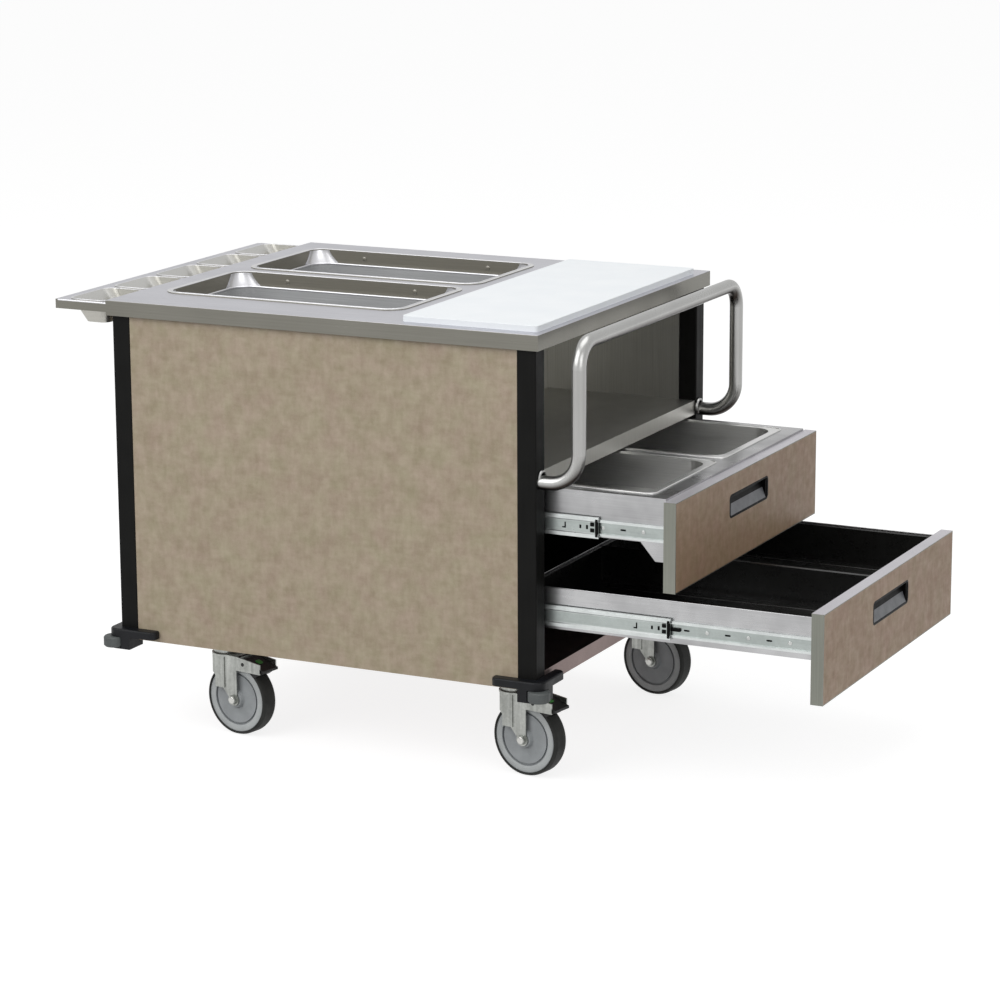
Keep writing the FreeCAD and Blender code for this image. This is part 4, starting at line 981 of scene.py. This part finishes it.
@dataclass
class Drawer:
    """One drawer with its slides."""

    name: str
    scoop_wall: float = 4.0 * MM
    scoop_lip: float = 1.5 * MM
    scoop_lift: float = 0.35 * MM
    scoop_side: float = 6.6 * MM
    scoop_foot: float = 0.4 * MM
    scoop_depth: float = 9.0 * MM
    scoop_brow: float = 19.0 * MM
    member_web: float = 4.0 * MM
    middle_web: float = 2.0 * MM
    screw: float = 4.2 * MM
    screw_height: float = 1.8 * MM
    screw_count: int = 7
    screw_start: float = 50.0 * MM
    screw_end: float = 45.0 * MM
    slot_shift: float = 42.0 * MM
    slot_half: tuple[float, float, float] = (6.0 * MM, 0.3 * MM, 1.8 * MM)
    lever_place: float = 0.322
    lever_half: tuple[float, float, float] = (11.0 * MM, 2.0 * MM, 3.4 * MM)
    cap_half: tuple[float, float, float] = (3.0 * MM, 1.9 * MM, 17.6 * MM)
    cap_back: float = 0.4 * MM
    cap_depth: float = 1.4 * MM
    window_lift: float = 0.1 * MM
    window_half: float = 0.4 * MM
    windows: tuple[CageWindow, ...] = (
        CageWindow(13.0, 6.5, 4.5, 4.0), CageWindow(13.0, -5.0, 4.5, 4.0), CageWindow(24.0, 0.5, 2.2, 4.2),
        CageWindow(38.0, 0.5, 2.0, 3.6), CageWindow(70.0, 0.5, 1.4, 6.0), CageWindow(73.0, -4.0, 3.4, 1.3))

    def node(self, part: str) -> str:
        """The CAD name of one of the drawer's nodes."""
        return f"{self.name}_drawer_{part}"

    def node_body(self) -> str:
        """The body the drawer moves with."""
        return f"{self.name}_drawer"

    def build(self) -> None:
        """Dresses the drawer and its slides and adds their small fittings."""
        dress([self.node("front")], Finishes.laminate_front)
        dress([self.node("edging")], Finishes.edging)
        dress([self.node("pull")], Finishes.pull)
        dress([f"{self.name}_slide_members", f"{self.name}_slide_middles"],
              SlideZinc(f"zinc_plated_{self.name}_slide", "#d2d6d5", "#babebd", 0.32,
                        level_mm=self.slide_level() / MM))
        self.build_scoop()
        self.build_slide_screws()
        self.build_black_fittings_and_shade()

    def build_scoop(self) -> None:
        """Floor of the pull, grey as painted light on the lit floor of the black recess: a flat grid leaning
        from the face at its foot to the back near its top.
        """
        low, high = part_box(self.node("pull"))
        half = (high.y - low.y) / 2 - self.scoop_wall - self.scoop_side
        foot_x = high.x - self.scoop_lip + self.scoop_lift
        foot_z = low.z + self.scoop_wall + self.scoop_foot
        brow_x = high.x - self.scoop_depth + self.scoop_lift
        brow_z = high.z - self.scoop_wall - self.scoop_brow
        along = np.linspace(0.0, 1.0, 6)[:, None]
        across = np.linspace(-half, half, 12)
        grid = np.broadcast_arrays(foot_x + (brow_x - foot_x) * along, across,
                                   foot_z + (brow_z - foot_z) * along)
        lattice(np.stack(grid, axis=-1)).piece(
            self.node("pull_floor"), self.node_body(), "pull_plastic", Finishes.scoop_painted_light)

    def slide_level(self) -> float:
        """The height of the slides' middle line."""
        low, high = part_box(f"{self.name}_slide_members")
        return (low.z + high.z) / 2

    def screw_steps(self) -> np.ndarray:
        """The places of the screws along the drawer members."""
        low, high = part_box(f"{self.name}_slide_members")
        return np.linspace(low.x + self.screw_start, high.x - self.screw_end, self.screw_count)

    def on_slides(self, part: str, depth: float, steps: Iterable[float], near: Shape,
                  far: Shape | None = None) -> Shape:
        """A shape set down along the near and far slides, on their middle line.

        Args:
            part: the slide member that carries it.
            depth: how far it stands in from the member's outer side.
            steps: its places along the slide.
            near: the shape, made about the origin.
            far: the far side's shape, where it isn't the same.

        Returns:
            All the copies as one shape.
        """
        low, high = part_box(f"{self.name}_slide_{part}")
        level = self.slide_level()
        near_row = near.repeated([(step, low.y + depth, level) for step in steps])
        far_row = (far or near).repeated([(step, high.y - depth, level) for step in steps])
        return joined([near_row, far_row])

    def build_slide_screws(self) -> None:
        """Screw heads along both drawer members: domes at even steps on the web."""
        near, far = (head(self.screw, self.screw_height, (0, out, 0)) for out in (-1, 1))
        self.on_slides("members", self.member_web, self.screw_steps(), near, far).piece(
            f"{self.name}_slide_screws", self.node_body(), "zinc", Finishes.slide_bolt)

    def build_black_fittings_and_shade(self) -> None:
        """Black fittings and painted shade of the slides, all rounded blocks.

        Thin black blocks on the web between the screws are painted shade in its slots. A release lever lies
        in each drawer member, level with its flanges. A cap stands from rail to rail at the tip of each
        middle member, and black blocks on the web behind it are painted shade in the ball cage's windows.
        """
        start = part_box(f"{self.name}_slide_members")[0].x
        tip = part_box(f"{self.name}_slide_middles")[1].x
        cage = [soft_block((-window.back * MM, 0.0, window.rise * MM),
                           (window.length * MM, self.window_half, window.height * MM),
                           power=0.3, rows=8, columns=16) for window in self.windows]
        fittings_and_shade = (
            ("slots", "members", self.member_web, self.screw_steps()[:-1] + self.slot_shift,
             soft_block(ORIGIN, self.slot_half, power=0.5, rows=10, columns=20)),
            ("levers", "members", self.member_web / 2, [start + self.lever_place],
             soft_block(ORIGIN, self.lever_half, power=0.3)),
            ("caps", "middles", self.cap_depth, [tip - self.cap_half[0] - self.cap_back],
             soft_block(ORIGIN, self.cap_half, power=0.2)),
            ("windows", "middles", self.middle_web - self.window_lift, [tip], joined(cage)))
        for name, part, depth, steps, shape in fittings_and_shade:
            body = self.node_body() if part == "members" else f"{self.name}_middle"
            self.on_slides(part, depth, steps, shape).piece(
                f"{self.name}_slide_{name}", body, "pull_plastic", Finishes.pull)


@dataclass
class UpperDrawer(Drawer):
    """The drawer that carries two food pans in a sheet frame."""

    name: str = "upper"
    pan_width: float = 325.0 * MM
    pan_round: float = 18.0 * MM
    rim: float = 1.6 * MM
    rim_squash: float = 0.8

    def build(self) -> None:
        """Adds the frame and the pans with their rolled rims."""
        super().build()
        dress([self.node("frame")], Finishes.sheet)
        dress([self.node("pans")], Finishes.pans)
        self.build_pan_rims()

    def build_pan_rims(self) -> None:
        """Rolled rim round each pan: a small circle carried round a rounded rectangle."""
        low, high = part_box(self.node("pans"))
        inset = self.rim * self.rim_squash
        half = ((high.x - low.x) / 2 - inset, self.pan_width / 2 - inset)
        centre = ((low.x + high.x) / 2, 0.0, high.z)
        rim = rolled_edge(self.rim, self.rim_squash, centre, half, self.pan_round)
        rim.spaced((low.y + self.pan_width / 2, high.y - self.pan_width / 2)).piece(
            "pan_rolled_rims", self.node_body(), "stainless", Finishes.pans)


@dataclass
class LowerDrawer(Drawer):
    """The drawer that carries two black tubs in a sheet box."""

    name: str = "lower"
    hem: float = 1.2 * MM
    hem_inset: float = 0.75 * MM
    hem_round: float = 2.0 * MM
    tub_gap: float = 1.0 * MM
    tub_wall: float = 3.0 * MM
    tub_round: float = 2.5 * MM
    rim: float = 1.9 * MM
    rim_squash: float = 0.7
    rim_inset: float = 1.5 * MM
    rib_count: int = 6
    rib_edge: float = 38.0 * MM
    rib_end: float = 36.0 * MM
    rib_half_width: float = 3.0 * MM
    rib_height: float = 2.6 * MM

    def build(self) -> None:
        """Adds the box with its hem and the tubs with their rims and ribs."""
        super().build()
        dress([self.node("box")], Finishes.sheet)
        dress([self.node("liners")], Finishes.tub)
        self.build_hem()
        self.build_tub_rims()
        self.build_tub_ribs()

    def build_hem(self) -> None:
        """Hemmed top edge of the box: a small circle carried round a rectangle with tight corners."""
        low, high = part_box(self.node("box"))
        half = ((high.x - low.x) / 2 - self.hem_inset, (high.y - low.y) / 2 - self.hem_inset)
        centre = ((low.x + high.x) / 2, 0.0, high.z)
        rolled_edge(self.hem, 1.0, centre, half, self.hem_round, steps=5).piece(
            "box_hem", self.node_body(), "stainless", Finishes.sheet)

    def build_tub_rims(self) -> None:
        """Thickened rim of each tub: a flat circle carried round its mouth."""
        low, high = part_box(self.node("liners"))
        width = (high.y - low.y - self.tub_gap) / 2
        half = ((high.x - low.x) / 2 - self.rim_inset, width / 2 - self.rim_inset)
        centre = ((low.x + high.x) / 2, 0.0, high.z)
        rim = rolled_edge(self.rim, self.rim_squash, centre, half, self.tub_round)
        rim.spaced((low.y + width / 2, high.y - width / 2)).piece(
            "tub_rims", self.node_body(), "tub_plastic", Finishes.tub)

    def build_tub_ribs(self) -> None:
        """Moulded ribs along each tub's floor: long low rounded bars at an even spacing across it."""
        low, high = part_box(self.node("liners"))
        width = (high.y - low.y - self.tub_gap) / 2
        spread = np.linspace(-width / 2 + self.rib_edge, width / 2 - self.rib_edge, self.rib_count)
        half = ((high.x - low.x) / 2 - self.rib_end, self.rib_half_width, self.rib_height)
        centre = ((low.x + high.x) / 2, 0.0, low.z + self.tub_wall)
        rib = soft_block(centre, half, power=0.5, rows=12, columns=40)
        rib.spaced([*(low.y + width / 2 + spread), *(high.y - width / 2 + spread)]).piece(
            "tub_ribs", self.node_body(), "tub_plastic", Finishes.tub)


@dataclass
class Caster:
    """One braked swivel caster."""

    corner: str
    turn: float = math.radians(-10.0)
    rim_inner: float = 55.5 * MM
    rim_outer: float = 68.5 * MM
    rim_face: float = 16.9 * MM
    rim_crown: float = 0.7 * MM
    bolt: float = 7.4 * MM
    bolt_height: float = 2.6 * MM
    bolt_reach: float = 32.9 * MM
    tab_reach: float = 48.0 * MM
    tab_rise: float = 81.5 * MM
    tab_slope: float = math.radians(-21.0)
    tab_half: tuple[float, float, float] = (6.5 * MM, 6.5 * MM, 2.2 * MM)

    def build(self) -> None:
        """Dresses the caster and adds its rim rings, bolt crowns and pedal tab."""
        dress([f"caster_fork_{self.corner}"], Finishes.fork_zinc)
        dress([f"wheel_core_{self.corner}"], Finishes.core)
        dress([f"wheel_tyre_{self.corner}"], Finishes.tyre)
        dress([f"brake_pedal_{self.corner}"], Finishes.pedal)
        self.build_rim_rings()
        self.build_bolt_crowns()
        self.build_tab()

    def across(self) -> np.ndarray:
        """The direction of the axle."""
        return np.array([-math.sin(self.turn), math.cos(self.turn), 0.0])

    def along(self) -> np.ndarray:
        """The direction from the swivel to the hub."""
        return np.array([math.cos(self.turn), math.sin(self.turn), 0.0])

    def hub(self) -> np.ndarray:
        """The middle of the wheel."""
        low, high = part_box(f"wheel_core_{self.corner}")
        return np.array(low + high) / 2

    def build_rim_rings(self) -> None:
        """Pale ring round each face of the wheel: a low parabolic arch turned about the axle."""
        spread = np.linspace(-1.0, 1.0, 9)
        radius = (self.rim_outer + self.rim_inner) / 2 + spread * (self.rim_outer - self.rim_inner) / 2
        profile = np.stack([radius, self.rim_face + self.rim_crown * (1 - spread ** 2)], axis=1)
        rings = [turned(profile, self.hub(), out * self.across(), count=64, loop=True) for out in (-1.0, 1.0)]
        joined(rings).piece(
            f"rim_rings_{self.corner}", f"wheel_{self.corner}", "core_plastic", Finishes.rim)

    def build_bolt_crowns(self) -> None:
        """Domed crown on each end of the axle bolt: a quarter ellipse turned about the axle."""
        crowns = [head(self.bolt, self.bolt_height, out * self.across()).repeated(
            [self.hub() + out * self.bolt_reach * self.across()]) for out in (-1.0, 1.0)]
        joined(crowns).piece(
            f"axle_crowns_{self.corner}", f"fork_{self.corner}", "zinc", Finishes.bolt_zinc)

    def build_tab(self) -> None:
        """Green tab let into the pedal's sloping tread: a flat rounded block, tipped with the tread."""
        upward = np.array(UP)
        ahead = self.along() * math.cos(self.tab_slope) + upward * math.sin(self.tab_slope)
        above = upward * math.cos(self.tab_slope) - self.along() * math.sin(self.tab_slope)
        block = soft_block(ORIGIN, self.tab_half, power=0.35)
        tipped = block.points @ np.stack([ahead, self.across(), above])
        place = self.hub() + self.along() * self.tab_reach + upward * self.tab_rise
        Shape(tipped + place, block.faces).piece(
            f"brake_tab_{self.corner}", f"pedal_{self.corner}", "pedal_plastic", Finishes.tab)


@dataclass
class Undercarriage:
    """Corner bumpers with rollers, caster plates, fixed slide members and the four casters."""

    corners: tuple[str, ...] = ("near_left", "near_right", "far_left", "far_right")

    def build(self) -> None:
        """Dresses the bumpers, plates and fixed slide members and builds each caster."""
        dress(["corner_bumpers"], Finishes.bumper)
        dress([f"bumper_roller_{corner}" for corner in self.corners], Finishes.roller)
        dress(["caster_top_plates"], Finishes.fork_zinc)
        dress(["slide_cabinet_members"], Finishes.slide_zinc)
        for corner in self.corners:
            Caster(corner).build()


@dataclass
class Lamp:
    """One soft studio lamp: a square panel that faces a point on the cart."""

    name: str
    place: tuple[float, float, float]
    size: float
    power: float
    target: tuple[float, float, float] = (0.0, 0.0, 0.5)

    def build(self) -> None:
        """Adds the lamp, turned to face the cart's middle."""
        light = bpy.data.lights.new(self.name, "AREA")
        light.shape = "SQUARE"
        light.size = self.size
        light.energy = self.power
        made = bpy.data.objects.new(self.name, light)
        made.location = self.place
        made.rotation_mode = "QUATERNION"
        made.rotation_quaternion = (Vector(self.target) - Vector(self.place)).to_track_quat("-Z", "Y")
        bpy.context.scene.collection.objects.link(made)


@dataclass
class Studio:
    """Pale floor, soft light and the camera at the photograph's angle."""

    camera_place: tuple[float, float, float] = (2.966, -6.102, 2.037)
    camera_target: tuple[float, float, float] = (0.0336, -0.1215, 0.497)
    lens_mm: float = 122.05
    sensor_mm: float = 36.0
    far_limit: float = 200.0
    roll: float = math.radians(-0.26)
    floor_half: float = 60.0
    ambient: float = 0.448
    backdrop: float = 0.8
    floor_glow: float = 0.82
    floor_tone: float = 0.33
    lamps: tuple[Lamp, ...] = (
        Lamp("key_lamp", (-2.6, -5.2, 4.6), 6.0, 246.0),
        Lamp("fill_lamp", (8.5, -6.5, 4.5), 7.0, 240.0),
        Lamp("top_lamp", (0.2, 0.4, 5.2), 4.0, 74.0))

    def build(self) -> None:
        """Sets up the floor, the world, the lamps and the camera."""
        self.build_floor()
        self.build_world()
        for lamp in self.lamps:
            lamp.build()
        self.build_camera()
        bpy.context.scene.view_settings.view_transform = "Standard"

    def background_rays(self, tree: Tree) -> Socket:
        """One for the rays that should see the plain backdrop: from the camera, mirrored or let through.

        Args:
            tree: the tree that gets the test.

        Returns:
            One or zero.
        """
        path = add(tree, "ShaderNodeLightPath").outputs
        seen = add(tree, "ShaderNodeMath", {0: path["Is Camera Ray"], 1: path["Is Glossy Ray"]},
                   operation="MAXIMUM")
        return add(tree, "ShaderNodeMath", {0: seen.outputs[0], 1: path["Is Transmission Ray"]},
                   operation="MAXIMUM").outputs[0]

    def build_floor(self) -> None:
        """A wide level grid in matt paint; to the camera it also glows a little, so that it looks white."""
        reach = np.linspace(-self.floor_half, self.floor_half, 9)
        across, over = np.meshgrid(reach, reach)
        surface = lattice(np.stack([across, over, np.zeros_like(across)], axis=-1))
        mesh = bpy.data.meshes.new("studio_floor")
        mesh.from_pydata(surface.points.tolist(), [], surface.faces)
        made = bpy.data.objects.new("studio_floor", mesh)
        bpy.context.scene.collection.objects.link(made)
        paint = bpy.data.materials.new("matt_white_floor_paint")
        paint.use_nodes = True
        tree = paint.node_tree
        tree.nodes.clear()
        matt = add(tree, "ShaderNodeBsdfDiffuse", {"Color": (*even(self.floor_tone), 1.0)})
        shown = add(tree, "ShaderNodeMath", {0: self.background_rays(tree), 1: self.floor_glow},
                    operation="MULTIPLY")
        glow = add(tree, "ShaderNodeEmission", {"Strength": shown.outputs[0]})
        both = add(tree, "ShaderNodeAddShader", {0: matt.outputs[0], 1: glow.outputs[0]})
        add(tree, "ShaderNodeOutputMaterial", {"Surface": both.outputs[0]})
        mesh.materials.append(paint)

    def build_world(self) -> None:
        """Even soft daylight; mirrored rays find a pale backdrop, and the camera finds plain white."""
        world = bpy.data.worlds.new("studio_world")
        bpy.context.scene.world = world
        world.use_nodes = True
        tree = world.node_tree
        tree.nodes.clear()
        rays = self.background_rays(tree)
        pale = add(tree, "ShaderNodeMapRange", {0: rays, 3: self.ambient, 4: self.backdrop}).outputs[0]
        seen = add(tree, "ShaderNodeLightPath").outputs["Is Camera Ray"]
        strength = add(tree, "ShaderNodeMath", {0: pale, 1: seen}, operation="MAXIMUM").outputs[0]
        back = add(tree, "ShaderNodeBackground", {"Color": (1.0, 1.0, 1.0, 1.0), "Strength": strength})
        add(tree, "ShaderNodeOutputWorld", {"Surface": back.outputs[0]})

    def build_camera(self) -> None:
        """Camera at the photograph's place, looking at its middle, with the photograph's slight roll."""
        lens = bpy.data.cameras.new("photo_camera")
        lens.lens = self.lens_mm
        lens.sensor_width = self.sensor_mm
        lens.clip_end = self.far_limit
        made = bpy.data.objects.new("photo_camera", lens)
        look = Vector(self.camera_target) - Vector(self.camera_place)
        made.location = self.camera_place
        made.rotation_mode = "QUATERNION"
        made.rotation_quaternion = look.to_track_quat("-Z", "Y") @ Quaternion(UP, self.roll)
        bpy.context.scene.collection.objects.link(made)
        bpy.context.scene.camera = made


def main() -> None:
    """Builds the studio and each sub-assembly."""
    logging.basicConfig(level=logging.INFO, format="%(message)s")
    Studio().build()
    for assembly in (Cabinet(), Worktop(), UpperDrawer(), LowerDrawer(), Undercarriage()):
        log.info("%s", type(assembly).__name__)
        assembly.build()


if __name__ == "__main__":
    main()
